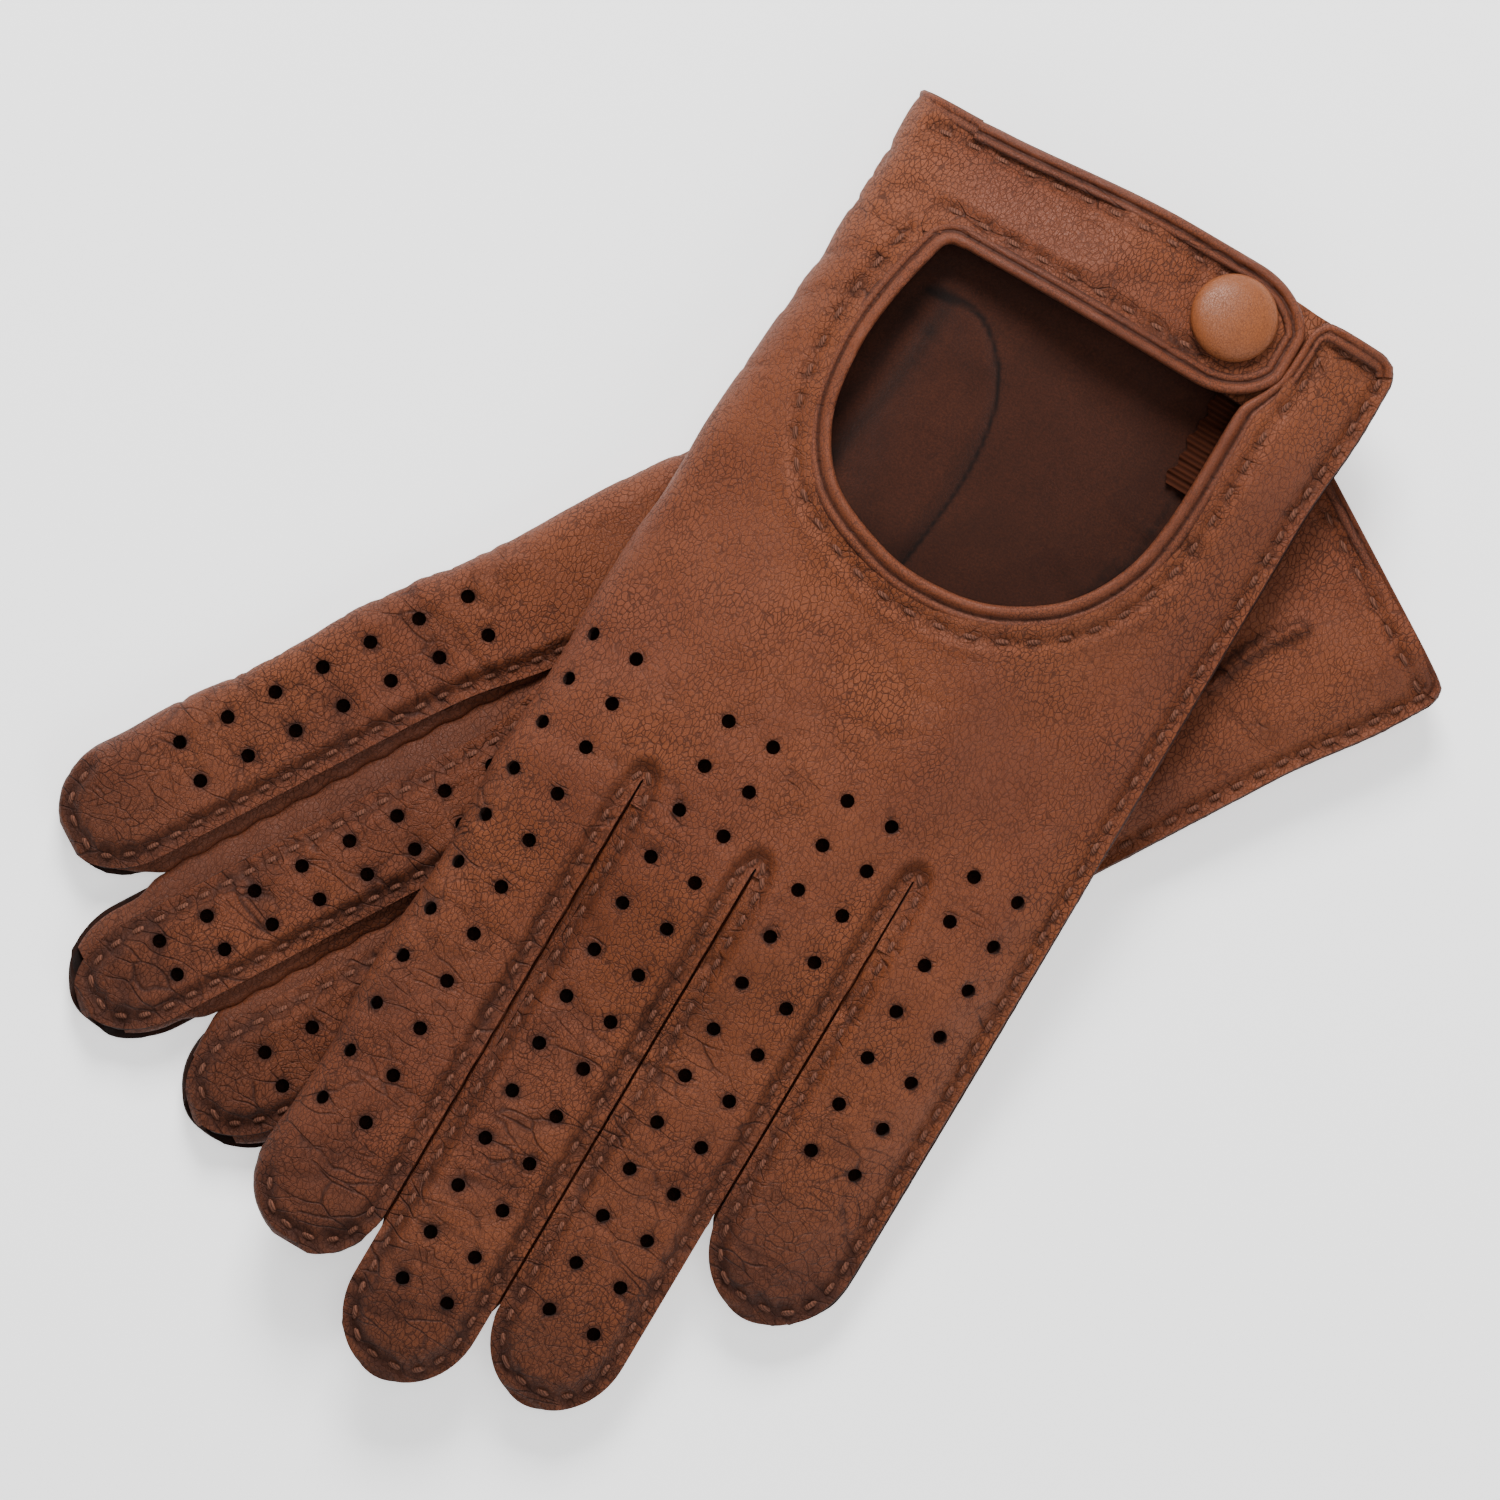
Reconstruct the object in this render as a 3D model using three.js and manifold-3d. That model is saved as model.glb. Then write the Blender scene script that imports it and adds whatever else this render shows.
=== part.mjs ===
// A pair of leather driving gloves at rest on a table, in millimetres, +Z up.
// The right glove lies below with its palm up; the left glove lies across it, back up.
// Each glove is drawn flat in its own frame (X across the hand, index side negative;
// Y along it, cuff positive; Z from the middle of the hand towards its back) and then laid.
import * as THREE from 'three';
import { mergeVertices } from 'three/addons/utils/BufferGeometryUtils.js';
import Module from 'manifold-3d';

const wasm = await Module();
wasm.setup();

// ---------- driving dimensions ----------
const LEATHER = 1.0;            // thickness of the glove leather
const GAP = 0.35;               // clearance between touching pieces
const CUFF_Y = 116.8;           // cuff edge
const KNUCKLE_Y = -12;          // line where the fingers fold
const HAND_HALF = 5.0;          // half the thickness of the hand
const CUFF_HALF = 4.8;          // half the thickness at the cuff
const FINGER_HALF = 4.5;        // half the thickness of a finger
const INDEX_X = -48.6;          // folded side of the hand at the knuckles
const WRIST_TAPER = 4.8;        // how far the folded side comes in towards the cuff
const CUFF_FLARE = 1.2;         // how far the sewn side goes out at the cuff
const FINGER_GAP = 0.5;         // slit between two fingers
const TIP_ROLL = 16;            // length over which a fingertip closes
const TIP_FLAT = 0.36;          // width left at the very tip, of the finger's width
const FINGERS = [
  { name: 'index', width: 22.9, length: 93.0 },
  { name: 'middle', width: 23.4, length: 104.5 },
  { name: 'ring', width: 23.4, length: 96.2 },
  { name: 'little', width: 25.2, length: 64.8 },
];
const SLIT_TOPS = [-7.4, -10.6, 0.9];   // where each slit between fingers begins on the hand
const FLANGE = 2.0;             // flat seam allowance on the sewn side
const SIDE_ROLL = 9.0;          // width over which the sewn side swells to full thickness
const FOURCHETTE = 0.8;         // thickness of the side gussets
const FOURCHETTE_INSET = 1.4;   // gusset behind the finger's edge
const BINDING = 3.2;            // width of the window's rolled binding
const BINDING_HIGH = 1.9;       // height of the bindings
const STRAP_BINDING = 2.0;      // width of the strap's narrower binding
const STRAP_WIDTH = 22.6;       // across the strap, bindings included
const STRAP_BOW = 2.4;          // how far the strap bows out beyond the cuff edge
const STRAP = { root: -32.8, tip: 32.4, low: CUFF_Y + STRAP_BOW - STRAP_WIDTH, high: CUFF_Y + STRAP_BOW };
const WINDOW = { left: -31.2, right: 29.0, bottom: 45.0, top: STRAP.low - 0.6 };
const SNAP = {                  // on the strap, set back from its tip
  x: STRAP.tip - 11.9, y: (STRAP.low + STRAP.high) / 2 + 1.3,
  capRadius: 7.4, capHigh: 3.9, shank: 1.7, hole: 2.05,
};
const SNAP_DEPTH = 3.3;         // from the strap's underside to the snap tab
const PANEL_LEFT = WINDOW.right + BINDING + GAP + 0.3;   // edge of the panel beside the strap's tip
const TAB = {                   // the underlap sewn below that panel
  left: SNAP.x - 7.7, right: PANEL_LEFT + 4.6, low: STRAP.low + 2.2, high: CUFF_Y - 2.4, thick: 1.0,
};
const HEM = 1.8;                // width of the bound cuff edge
const THUMB = { base: [-17, 86], tip: [5, -3], width: 25, thick: 3.4 };
const THUMB_HOLE = { x: -16.5, y: 67, across: 8.5, along: 16 };
const ELASTIC = { x: 27, low: CUFF_Y - 44.8, high: CUFF_Y - 17.8, width: 5, thick: 0.8 };

// how the pair is laid
const LAY_ANGLE = THREE.MathUtils.degToRad(31.7);   // turn of the lower glove
const LAY_SHIFT = new THREE.Vector2(-18.5, 0.24);   // its offset from the upper glove
const REST_GAP = 0.4;           // air between the two gloves
const DRAPE_FLAT = 42;          // half the width over which the upper glove lies level
const DRAPE_FALL = 60;          // distance over which it comes down to the table
const THUMB_PLATEAU = 15;       // half width of the rise over a thumb
const THUMB_SKIRT = 28;         // distance over which that rise fades
const LIFT_FROM = 20;           // the lower glove lies flat on the table up to here
const LIFT_TO = 105;            // and is held up by its snap cap from here on
const SPLAY = [-1.2, 0.3, 2.0, 2.0];   // sideways spread of the lower glove's fingers
const SLACK = 3.6;              // how much shorter its slack fingers lie

const LAYS = {
  left: { splay: [0, 0, 0, 0], slack: 0 },
  right: { splay: SPLAY, slack: SLACK },
};

const SEAM_HALF = LEATHER + GAP / 2;   // two leathers meeting at a seam
const LIFT = SNAP.capHigh + GAP;       // the cap's height above the strap

const FINISHES = {
  leather: { color: 0x8a5232, roughness: 0.55, metalness: 0 },
  gusset: { color: 0x6f3f28, roughness: 0.62, metalness: 0 },
  binding: { color: 0x7c472c, roughness: 0.5, metalness: 0 },
  cap: { color: 0xa8693f, roughness: 0.4, metalness: 0 },
  metal: { color: 0xb08d57, roughness: 0.32, metalness: 1 },
  elastic: { color: 0x3a2418, roughness: 0.9, metalness: 0 },
};

// ---------- shape functions of a glove lying flat ----------
const clamp01 = (t) => Math.min(1, Math.max(0, t));
const smooth = (t) => { const c = clamp01(t); return c * c * (3 - 2 * c); };

/** Folded (index) edge of the hand at a height y. */
const foldX = (y) => INDEX_X + WRIST_TAPER * smooth((y - 10) / (CUFF_Y - 10));

/** Left edge of a finger at the knuckle line. */
function fingerLeft(index) {
  return FINGERS.slice(0, index).reduce((x, f) => x + f.width + FINGER_GAP, INDEX_X);
}

/** Sewn (little finger) edge of the hand at a height y. */
const sewnX = (y) => fingerLeft(3) + FINGERS[3].width + CUFF_FLARE * smooth((y - 85) / 20);

/** Half the thickness of the glove at a height y, away from its edges and tips. */
function halfAt(y) {
  if (y >= KNUCKLE_Y) return HAND_HALF + (CUFF_HALF - HAND_HALF) * smooth((y - 60) / 40);
  return FINGER_HALF + (HAND_HALF - FINGER_HALF) * (1 - smooth((KNUCKLE_Y - y) / 25));
}

/** How far the lower glove is held off the table by its snap cap. */
const liftAt = (y) => LIFT * smooth((y - LIFT_FROM) / (LIFT_TO - LIFT_FROM));

/** One finger as laid: its edges, its tip and its closing thickness at a height y. */
function fingerShape(side, index) {
  const { splay, slack } = LAYS[side];
  const { width, length } = FINGERS[index];
  const tipY = KNUCKLE_Y - length + slack;
  const round = width * 0.55;
  const shift = (y) => splay[index] * smooth((KNUCKLE_Y - y) / 30);
  const narrow = (y) => {
    const t = clamp01((tipY + round - y) / round);
    return Math.sqrt(1 - t * t * (1 - TIP_FLAT * TIP_FLAT));
  };
  const centre = (y) => fingerLeft(index) + width / 2 + shift(y);
  const left = (y) => centre(y) - (width / 2) * narrow(y);
  const right = (y) => centre(y) + (width / 2) * narrow(y);
  const half = (y) => {
    const t = clamp01((tipY + TIP_ROLL - y) / TIP_ROLL);
    return SEAM_HALF + (halfAt(y) - SEAM_HALF) * Math.sqrt(1 - t * t);
  };
  return { tipY, round, left, right, half };
}

/** Fullness beside a finger seam, from its edge inwards. */
const seamFullness = (d) => 1 - 0.25 * Math.exp(-d / 3);

/** Fullness beside the flat-sewn side seam. */
const sideFullness = (d) => Math.sin((Math.PI / 2) * clamp01((d - FLANGE) / SIDE_ROLL));

/** Half thickness at a point between two edges, each with its kind of seam. */
function crown(half, toLeft, toRight, leftSeam, rightSeam) {
  const fullness = Math.min(leftSeam(toLeft), rightSeam(toRight));
  return SEAM_HALF + (half - SEAM_HALF) * fullness;
}

const noSeam = () => 1;

// ---------- laying a flat glove ----------
/** Distance of a point from a straight segment. */
function fromSegment(p, a, b) {
  const ab = b.clone().sub(a);
  const t = clamp01(p.clone().sub(a).dot(ab) / ab.lengthSq());
  return p.distanceTo(a.clone().addScaledVector(ab, t));
}

const toLower = (p) => p.clone().sub(LAY_SHIFT).rotateAround(new THREE.Vector2(), LAY_ANGLE);
const fromLower = (p) => p.clone().rotateAround(new THREE.Vector2(), -LAY_ANGLE).add(LAY_SHIFT);
const upperThumb = [new THREE.Vector2(...THUMB.base), new THREE.Vector2(...THUMB.tip)];
const lowerThumb = upperThumb.map(fromLower);

/** Height of the upper glove's underside above the table. */
function drapeAt(x, y) {
  const p = new THREE.Vector2(x, y);
  const q = toLower(p);
  const level = 1 - smooth((Math.abs(q.x) - DRAPE_FLAT) / DRAPE_FALL);
  const base = (liftAt(q.y) + 2 * HAND_HALF + REST_GAP) * level;
  const rise = (axis) => 1 - smooth((fromSegment(p, ...axis) - THUMB_PLATEAU) / THUMB_SKIRT);
  return REST_GAP + base + (THUMB.thick + GAP) * (rise(upperThumb) + rise(lowerThumb));
}

const PLACES = {
  left: (p) => new THREE.Vector3(p.x, p.y, drapeAt(p.x, p.y) + halfAt(p.y) + p.z),
  right: (p) => new THREE.Vector3(p.x, p.y, liftAt(p.y) + halfAt(p.y) - p.z),
};

// ---------- solids ----------
/** Turns the faces of a closed body outwards. */
function faceOut(geometry) {
  const p = geometry.attributes.position;
  const index = geometry.index.array;
  const [a, b, c] = [new THREE.Vector3(), new THREE.Vector3(), new THREE.Vector3()];
  let volume = 0;
  for (let i = 0; i < index.length; i += 3) {
    a.fromBufferAttribute(p, index[i]);
    b.fromBufferAttribute(p, index[i + 1]);
    c.fromBufferAttribute(p, index[i + 2]);
    volume += a.dot(b.cross(c));
  }
  if (volume < 0) for (let i = 0; i < index.length; i += 3) {
    [index[i], index[i + 1]] = [index[i + 1], index[i]];
  }
  return geometry;
}

/** A geometry with shared vertices and only positions. */
function welded(geometry) {
  geometry.deleteAttribute('normal');
  geometry.deleteAttribute('uv');
  return mergeVertices(geometry, 1e-4);
}

/** Moves every vertex of a body by a function of its position. */
function moved(geometry, move) {
  const p = geometry.attributes.position;
  const v = new THREE.Vector3();
  for (let i = 0; i < p.count; i += 1) {
    p.setXYZ(i, ...move(v.fromBufferAttribute(p, i)).toArray());
  }
  return faceOut(geometry);
}

/** A sheet of leather: a box with a grid of us by vs, bent by shape(u, v, outer). */
function sheet(us, vs, shape) {
  const box = welded(new THREE.BoxGeometry(1, 1, 1, us.length - 1, vs.length - 1, 1));
  const at = (list, t) => list[Math.round((t + 0.5) * (list.length - 1))];
  return moved(box, (v) => shape(at(us, v.x), at(vs, v.y), v.z > 0));
}

/** Evenly spaced values from a to b in n steps. */
const steps = (a, b, n) => Array.from({ length: n + 1 }, (_, i) => a + ((b - a) * i) / n);

function toManifold(geometry) {
  return new wasm.Manifold(new wasm.Mesh({
    numProp: 3,
    vertProperties: new Float32Array(geometry.attributes.position.array),
    triVerts: new Uint32Array(geometry.index.array),
  }));
}

/** A body with other bodies cut away from it. */
function cut(geometry, ...cutters) {
  const mesh = cutters.reduce((m, c) => m.subtract(toManifold(c)), toManifold(geometry)).getMesh();
  const result = new THREE.BufferGeometry();
  result.setAttribute('position', new THREE.BufferAttribute(new Float32Array(mesh.vertProperties), 3));
  result.setIndex(new THREE.BufferAttribute(new Uint32Array(mesh.triVerts), 1));
  return result;
}

/** An upright prism with a plan outline, between two heights. */
function prism(shape, low, high, curveSegments = 6) {
  const options = { depth: high - low, bevelEnabled: false, curveSegments };
  return welded(new THREE.ExtrudeGeometry(shape, options)).translate(0, 0, low);
}

/** A round body turned about an upright axis through (x, y). */
function turned(profile, x, y, segments = 14) {
  const points = profile.map(([r, z]) => new THREE.Vector2(r, z));
  const body = welded(new THREE.LatheGeometry(points, segments)).rotateX(Math.PI / 2);
  return faceOut(body).translate(x, y, 0);
}

/** A smooth curve through plan points. */
const planCurve = (points) => new THREE.CatmullRomCurve3(
  points.map(([x, y]) => new THREE.Vector3(x, y, 0)));

/** A rolled binding: an oval section carried along a plan curve, then set at a height. */
function rolled(points, width, height, divisions, heightAt) {
  const curve = planCurve(points);
  const oval = new THREE.Shape();
  oval.absellipse(0, 0, height / 2, width / 2, 0, 2 * Math.PI);
  const options = { steps: divisions, extrudePath: curve, bevelEnabled: false, curveSegments: 4 };
  const body = welded(new THREE.ExtrudeGeometry(oval, options));
  return moved(body, (v) => new THREE.Vector3(v.x, v.y, v.z + heightAt(v.x, v.y)));
}

// ---------- the pieces of a glove ----------
/** Outline of the hand's leather wrapped round the folded side: back, fold, palm. */
function wrapped(x0, x1, half, rightSeam, backSteps, foldSteps) {
  const radius = half;
  const across = (t) => x1 + (x0 + radius - x1) * t;
  const flat = (t, sign) => {
    const x = across(t);
    return { x, z: sign * crown(half, 1e3, x1 - x, noSeam, rightSeam), sign };
  };
  const back = steps(0, 1, backSteps).map((t) => flat(t, 1));
  const fold = steps(0, 1, foldSteps).slice(1, -1).map((t) => ({ turn: Math.PI * (0.5 + t) }));
  const palm = steps(1, 0, backSteps).map((t) => flat(t, -1));
  return { outline: [...back, ...fold, ...palm], centre: x0 + radius, radius };
}

/** Point of a wrapped section on its outer or inner face. */
function wrappedPoint(section, i, y, outer, thick) {
  const point = section.outline[i];
  const inset = outer ? 0 : thick;
  if (point.turn === undefined) return new THREE.Vector3(point.x, y, point.z - point.sign * inset);
  const r = section.radius - inset;
  return new THREE.Vector3(
    section.centre + r * Math.cos(point.turn), y, r * Math.sin(point.turn));
}

/** Leather wrapped round the folded side between two heights. */
function wrap(ys, left, right, half, rightSeam, { backSteps, foldSteps, thick = LEATHER }) {
  const count = 2 * (backSteps + 1) + foldSteps - 1;
  return sheet(steps(0, count - 1, count - 1), ys, (i, y, outer) => {
    const section = wrapped(left(y), right(y), half(y), rightSeam, backSteps, foldSteps);
    return wrappedPoint(section, i, y, outer, thick);
  });
}

/** Stations along a finger, closer together at the tip. */
function fingerStations({ tipY, round }) {
  const shaft = steps(KNUCKLE_Y - GAP / 2, tipY + round, 5);
  return [...shaft, ...[0.4, 0.7, 0.9, 1].map((t) => tipY + round * (1 - t))];
}

/** Back or palm panel of a finger that has seams on both sides. */
function fingerPanel(shape, sign, rightSeam) {
  const us = [0, 0.08, 0.25, 0.5, 0.75, 0.92, 1];
  return sheet(us, fingerStations(shape), (u, y, outer) => {
    const [x0, x1] = [shape.left(y), shape.right(y)];
    const x = x0 + (x1 - x0) * u;
    const z = crown(shape.half(y), x - x0, x1 - x, seamFullness, rightSeam);
    return new THREE.Vector3(x, y, sign * (outer ? z : z - LEATHER));
  });
}

/** Gusset along one side of a finger, between its back and palm panels. */
function fourchette(shape, onRight) {
  const end = shape.tipY + shape.round * 0.6;
  const depth = FOURCHETTE_INSET;
  const ys = fingerStations(shape).filter((y) => y >= end);
  return sheet([0, 1], ys, (u, y, outer) => {
    const edge = onRight ? shape.right(y) : shape.left(y);
    const x = edge + (onRight ? -1 : 1) * (depth + (outer ? 0 : FOURCHETTE));
    const z = crown(shape.half(y), depth, 1e3, seamFullness, noSeam) - LEATHER - GAP;
    return new THREE.Vector3(x, y, (2 * u - 1) * z);
  });
}

/** The window's binding runs down the left side, round the bottom and up the right. */
function windowBindingPath() {
  const h = BINDING / 2;
  const [l, r, b] = [WINDOW.left - h, WINDOW.right + h, WINDOW.bottom - h];
  const mid = (WINDOW.left + WINDOW.right) / 2;
  return [[l + 3.0, WINDOW.top - 1.8], [l + 0.9, b + 41], [l, b + 30], [l + 2.1, b + 17],
    [l + 9.4, b + 6.6], [mid - 9.5, b + 1.0], [mid + 1, b], [mid + 12, b + 2.2],
    [r - 9.0, b + 9.2], [r - 2.6, b + 19.5], [r - 0.3, b + 32], [r, WINDOW.top + 1.0]];
}

/** Plan outline removed from the back for the window, its binding and the strap. */
function windowCut() {
  const curve = planCurve(windowBindingPath());
  const outward = (t) => {
    const p = curve.getPoint(t);
    const along = curve.getTangent(t);
    return new THREE.Vector2(p.x + along.y * clear, p.y - along.x * clear);
  };
  const clear = BINDING / 2 + GAP + 0.15;
  const edge = steps(0, 1, 36).map(outward);
  const beyond = CUFF_Y + 20;
  const rootX = STRAP.root - GAP;
  const start = [new THREE.Vector2(rootX, beyond), new THREE.Vector2(rootX, STRAP.low)];
  return new THREE.Shape([...start, ...edge, new THREE.Vector2(edge.at(-1).x, beyond)]);
}

/** The strap's outline as its low and high edge at a distance along it. */
function strapEdges(x, inset) {
  const reach = 11;
  const rise = 2.4 * smooth((x - STRAP.root) / 40);
  const [low, high] = [STRAP.low + inset, STRAP.high - 2.4 + rise - inset];
  const mid = (low + high) / 2 + 0.6 * smooth((x - 5) / 20);
  const t = clamp01((x - (STRAP.tip - inset - reach)) / reach);
  const narrow = Math.sqrt(1 - 0.86 * t * t);
  return [mid + (low - mid) * narrow, mid + (high - mid) * narrow];
}

/** The strap, with the hole for the snap's shank. */
function strapPiece() {
  const inset = STRAP_BINDING + GAP + 0.2;
  const tip = STRAP.tip - inset;
  const xs = [...steps(STRAP.root, tip - 11, 8), ...[0.4, 0.7, 0.88, 1].map((t) => tip - 11 * (1 - t))];
  const body = sheet(xs, [0, 0.5, 1], (x, v, outer) => {
    const [low, high] = strapEdges(x, inset);
    const y = low + (high - low) * v;
    return new THREE.Vector3(x, y, halfAt(y) - (outer ? 0 : LEATHER));
  });
  const hole = turned([[0, 0], [SNAP.hole, 0], [SNAP.hole, 12], [0, 12]], SNAP.x, SNAP.y, 12);
  return cut(body, hole);
}

/** The binding round the strap's free edges. */
function strapBindingPath() {
  const h = STRAP_BINDING / 2;
  const at = (x, side) => [x, strapEdges(x, h)[side]];
  const tip = STRAP.tip - h;
  const lows = [STRAP.root + 6.5, -14, 2, 14, tip - 8.5, tip - 4, tip - 1.2].map((x) => at(x, 0));
  const highs = [tip - 1.2, tip - 4, tip - 8.5, 14, 2, -14, STRAP.root + 1.1].map((x) => at(x, 1));
  const [, y0] = lows.at(-1);
  const [, y1] = highs[0];
  return [...lows, [tip, (y0 + y1) / 2], ...highs];
}

/** The tab under the strap's tip, carried up to the side panel it is sewn under. */
function snapTab() {
  const bend = SNAP.x + 5.6;
  const xs = [TAB.left, ...[-9, -4, 0, 2, 4, 6, 8].map((dx) => bend + dx), TAB.right];
  const body = sheet(xs, [0, 0.5, 1], (x, v, outer) => {
    const y = TAB.low + (TAB.high - TAB.low) * v;
    const down = GAP + (SNAP_DEPTH - GAP) * (1 - smooth((x - bend) / 8));
    const z = halfAt(y) - LEATHER - down;
    return new THREE.Vector3(x, y, outer ? z : z - TAB.thick);
  });
  const hole = turned([[0, -9], [SNAP.hole, -9], [SNAP.hole, 9], [0, 9]], SNAP.x, SNAP.y, 12);
  return cut(body, hole);
}

/** The four round pieces of the snap, by their profile (radius, height). */
function snapPieces() {
  const top = halfAt(SNAP.y);
  const under = top - LEATHER;
  const { x, y, capRadius: R, capHigh: H, shank, hole } = SNAP;
  const cover = [[0, H], [R * 0.35, H * 0.96], [R * 0.68, H * 0.78], [R * 0.92, H * 0.5], [R, H * 0.3],
    [R * 0.97, H * 0.14], [R * 0.9, GAP], [R * 0.74, GAP], [R * 0.74, H * 0.21], [R * 0.86, H * 0.3],
    [R * 0.6, H * 0.6], [R * 0.3, H * 0.76], [0, H * 0.79]];
  const shell = [[0, H * 0.7], [R * 0.3, H * 0.67], [R * 0.56, H * 0.52], [R * 0.68, H * 0.4],
    [R * 0.68, H * 0.3], [shank, H * 0.3], [shank, -LEATHER - 0.7], [0, -LEATHER - 0.7]];
  const socket = [[hole, -GAP], [5, -GAP], [5, -2.1], [2.5, -2.1], [2.5, -0.95], [hole, -0.95], [hole, -GAP]];
  const stud = [[0, -1.15], [1.5, -1.15], [1.95, -1.6], [1.7, -2.45], [4.4, -2.45],
    [4.4, GAP - SNAP_DEPTH], [0, GAP - SNAP_DEPTH]];
  const down = SNAP_DEPTH + TAB.thick + GAP;
  const post = [[0, -SNAP_DEPTH], [shank, -SNAP_DEPTH], [shank, -down], [4, -down],
    [4, -down - 0.5], [0, -down - 0.5]];
  const at = (profile, z) => turned(profile, x, y).translate(0, 0, z);
  return { cap_cover: at(cover, top), cap_shell: at(shell, top), snap_socket: at(socket, under),
    snap_stud: at(stud, under), snap_post: at(post, under) };
}

/** Centre, width and end of the thumb stall at a share of its length. */
function thumbPoint(s, u, inset) {
  const [a, b] = upperThumb;
  const along = b.clone().sub(a);
  const side = new THREE.Vector2(-along.y, along.x).normalize();
  const taper = 1 - 0.3 * s;
  const t = clamp01((s - 0.82) / 0.18);
  const narrow = Math.sqrt(1 - 0.84 * t * t);
  const halfWidth = (THUMB.width / 2) * taper * narrow - inset;
  return a.clone().addScaledVector(along, s).addScaledVector(side, halfWidth * (2 * u - 1));
}

/** A flattened pouch of the thumb's outline, from just under the palm downwards. */
function pouch(inset, start, end) {
  const top = -GAP - inset;
  const bottom = -GAP - THUMB.thick + inset;
  const ss = [start, 0.2, 0.4, 0.6, 0.78, 0.86, 0.93, end];
  return sheet([0, 0.12, 0.5, 0.88, 1], ss, (u, s, outer) => {
    const p = thumbPoint(s, u, inset);
    const edge = (u === 0 || u === 1) ? 0.5 : 0;
    const z = outer ? top - edge : bottom + edge;
    return new THREE.Vector3(p.x, p.y, z - halfAt(p.y));
  });
}

/** An upright oval cutter over the thumb's base. */
function thumbHole(low, high, grow) {
  const oval = new THREE.Shape();
  oval.absellipse(0, 0, THUMB_HOLE.across + grow, THUMB_HOLE.along + grow, 0, 2 * Math.PI);
  const lean = -Math.atan2(THUMB.base[0] - THUMB.tip[0], THUMB.base[1] - THUMB.tip[1]);
  return prism(oval, low, high, 10).rotateZ(lean).translate(THUMB_HOLE.x, THUMB_HOLE.y, 0);
}

/** Upright cutters for the slits between the fingers, through the back only. */
function slitCutters() {
  return SLIT_TOPS.map((top, i) => {
    const x = fingerLeft(i + 1) - FINGER_GAP / 2;
    const length = top - KNUCKLE_Y + 1;
    return welded(new THREE.BoxGeometry(FINGER_GAP, length, 20)).translate(x, top - length / 2, 10);
  });
}

/** The leather of the hand: back, fold and palm in one blank, with its cut-outs. */
function trank() {
  const ys = steps(KNUCKLE_Y + GAP / 2, CUFF_Y - HEM - GAP, 11);
  const blank = wrap(ys, foldX, sewnX, halfAt, sideFullness, { backSteps: 8, foldSteps: 5 });
  return cut(blank, prism(windowCut(), 0, 20), thumbHole(-20, -1, 0), ...slitCutters());
}

/** The bound cuff edge from the strap's root round the fold and the palm. */
function cuffHem() {
  const ring = wrap([CUFF_Y - HEM, CUFF_Y], foldX, sewnX, halfAt, sideFullness,
    { backSteps: 6, foldSteps: 6 });
  const away = welded(new THREE.BoxGeometry(200, 40, 20));
  return cut(ring, away.translate(STRAP.root - GAP + 100, CUFF_Y, 10));
}

/** The bound edge of the small panel beside the strap's tip. */
function panelHem() {
  return sheet([0, 0.3, 0.5, 0.7, 0.85, 1], [CUFF_Y - HEM, CUFF_Y], (u, y, outer) => {
    const right = sewnX(y);
    const x = PANEL_LEFT + (right - PANEL_LEFT) * u;
    const z = crown(halfAt(y), 1e3, right - x, noSeam, sideFullness);
    return new THREE.Vector3(x, y, outer ? z : z - LEATHER);
  });
}

/** The thumb stall, open into the palm at its base. */
function thumb() {
  return cut(pouch(0, 0, 1), pouch(LEATHER, -0.1, 0.985), thumbHole(-60, -1, 0));
}

/** The elastic behind the short ruched seam in the palm. */
function wristElastic() {
  return sheet([0, 1], steps(ELASTIC.low, ELASTIC.high, 4), (u, y, outer) => (
    new THREE.Vector3(ELASTIC.x + ELASTIC.width * (u - 0.5), y,
      -halfAt(y) + LEATHER + GAP + (outer ? ELASTIC.thick : 0))));
}

/** The pieces of the four fingers, flat: [name, geometry, finish]. */
function fingerPieces(side) {
  const shapes = FINGERS.map((_, i) => fingerShape(side, i));
  const first = shapes[0];
  const list = [['index_leather', wrap(fingerStations(first), first.left, first.right,
    first.half, seamFullness, { backSteps: 5, foldSteps: 5 }), 'leather']];
  for (const i of [1, 2, 3]) {
    const rightSeam = i === 3 ? sideFullness : seamFullness;
    list.push([`${FINGERS[i].name}_back`, fingerPanel(shapes[i], 1, rightSeam), 'leather']);
    list.push([`${FINGERS[i].name}_palm`, fingerPanel(shapes[i], -1, rightSeam), 'leather']);
  }
  for (const i of [0, 1, 2]) {
    const [a, b] = [FINGERS[i].name, FINGERS[i + 1].name];
    list.push([`${a}_fourchette_to_${b}`, fourchette(shapes[i], true), 'gusset']);
    list.push([`${b}_fourchette_to_${a}`, fourchette(shapes[i + 1], false), 'gusset']);
  }
  return list;
}

/** All the pieces of one glove, flat: [name, geometry, finish]. */
function glovePieces(side) {
  const onBack = (x, y) => halfAt(y) - BINDING_HIGH / 2 + 0.2;
  return [
    ['trank', trank(), 'leather'],
    ['cuff_hem', cuffHem(), 'binding'],
    ['panel_hem', panelHem(), 'binding'],
    ...fingerPieces(side),
    ['thumb', thumb(), 'leather'],
    ['window_binding', rolled(windowBindingPath(), BINDING, BINDING_HIGH, 26, onBack), 'binding'],
    ['strap', strapPiece(), 'leather'],
    ['strap_binding', rolled(strapBindingPath(), STRAP_BINDING, BINDING_HIGH, 28, onBack), 'binding'],
    ['snap_tab', snapTab(), 'leather'],
    ...Object.entries(snapPieces()).map(([name, body]) => [name, body,
      name === 'cap_cover' ? 'cap' : 'metal']),
    ['wrist_elastic', wristElastic(), 'elastic'],
  ];
}

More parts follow.
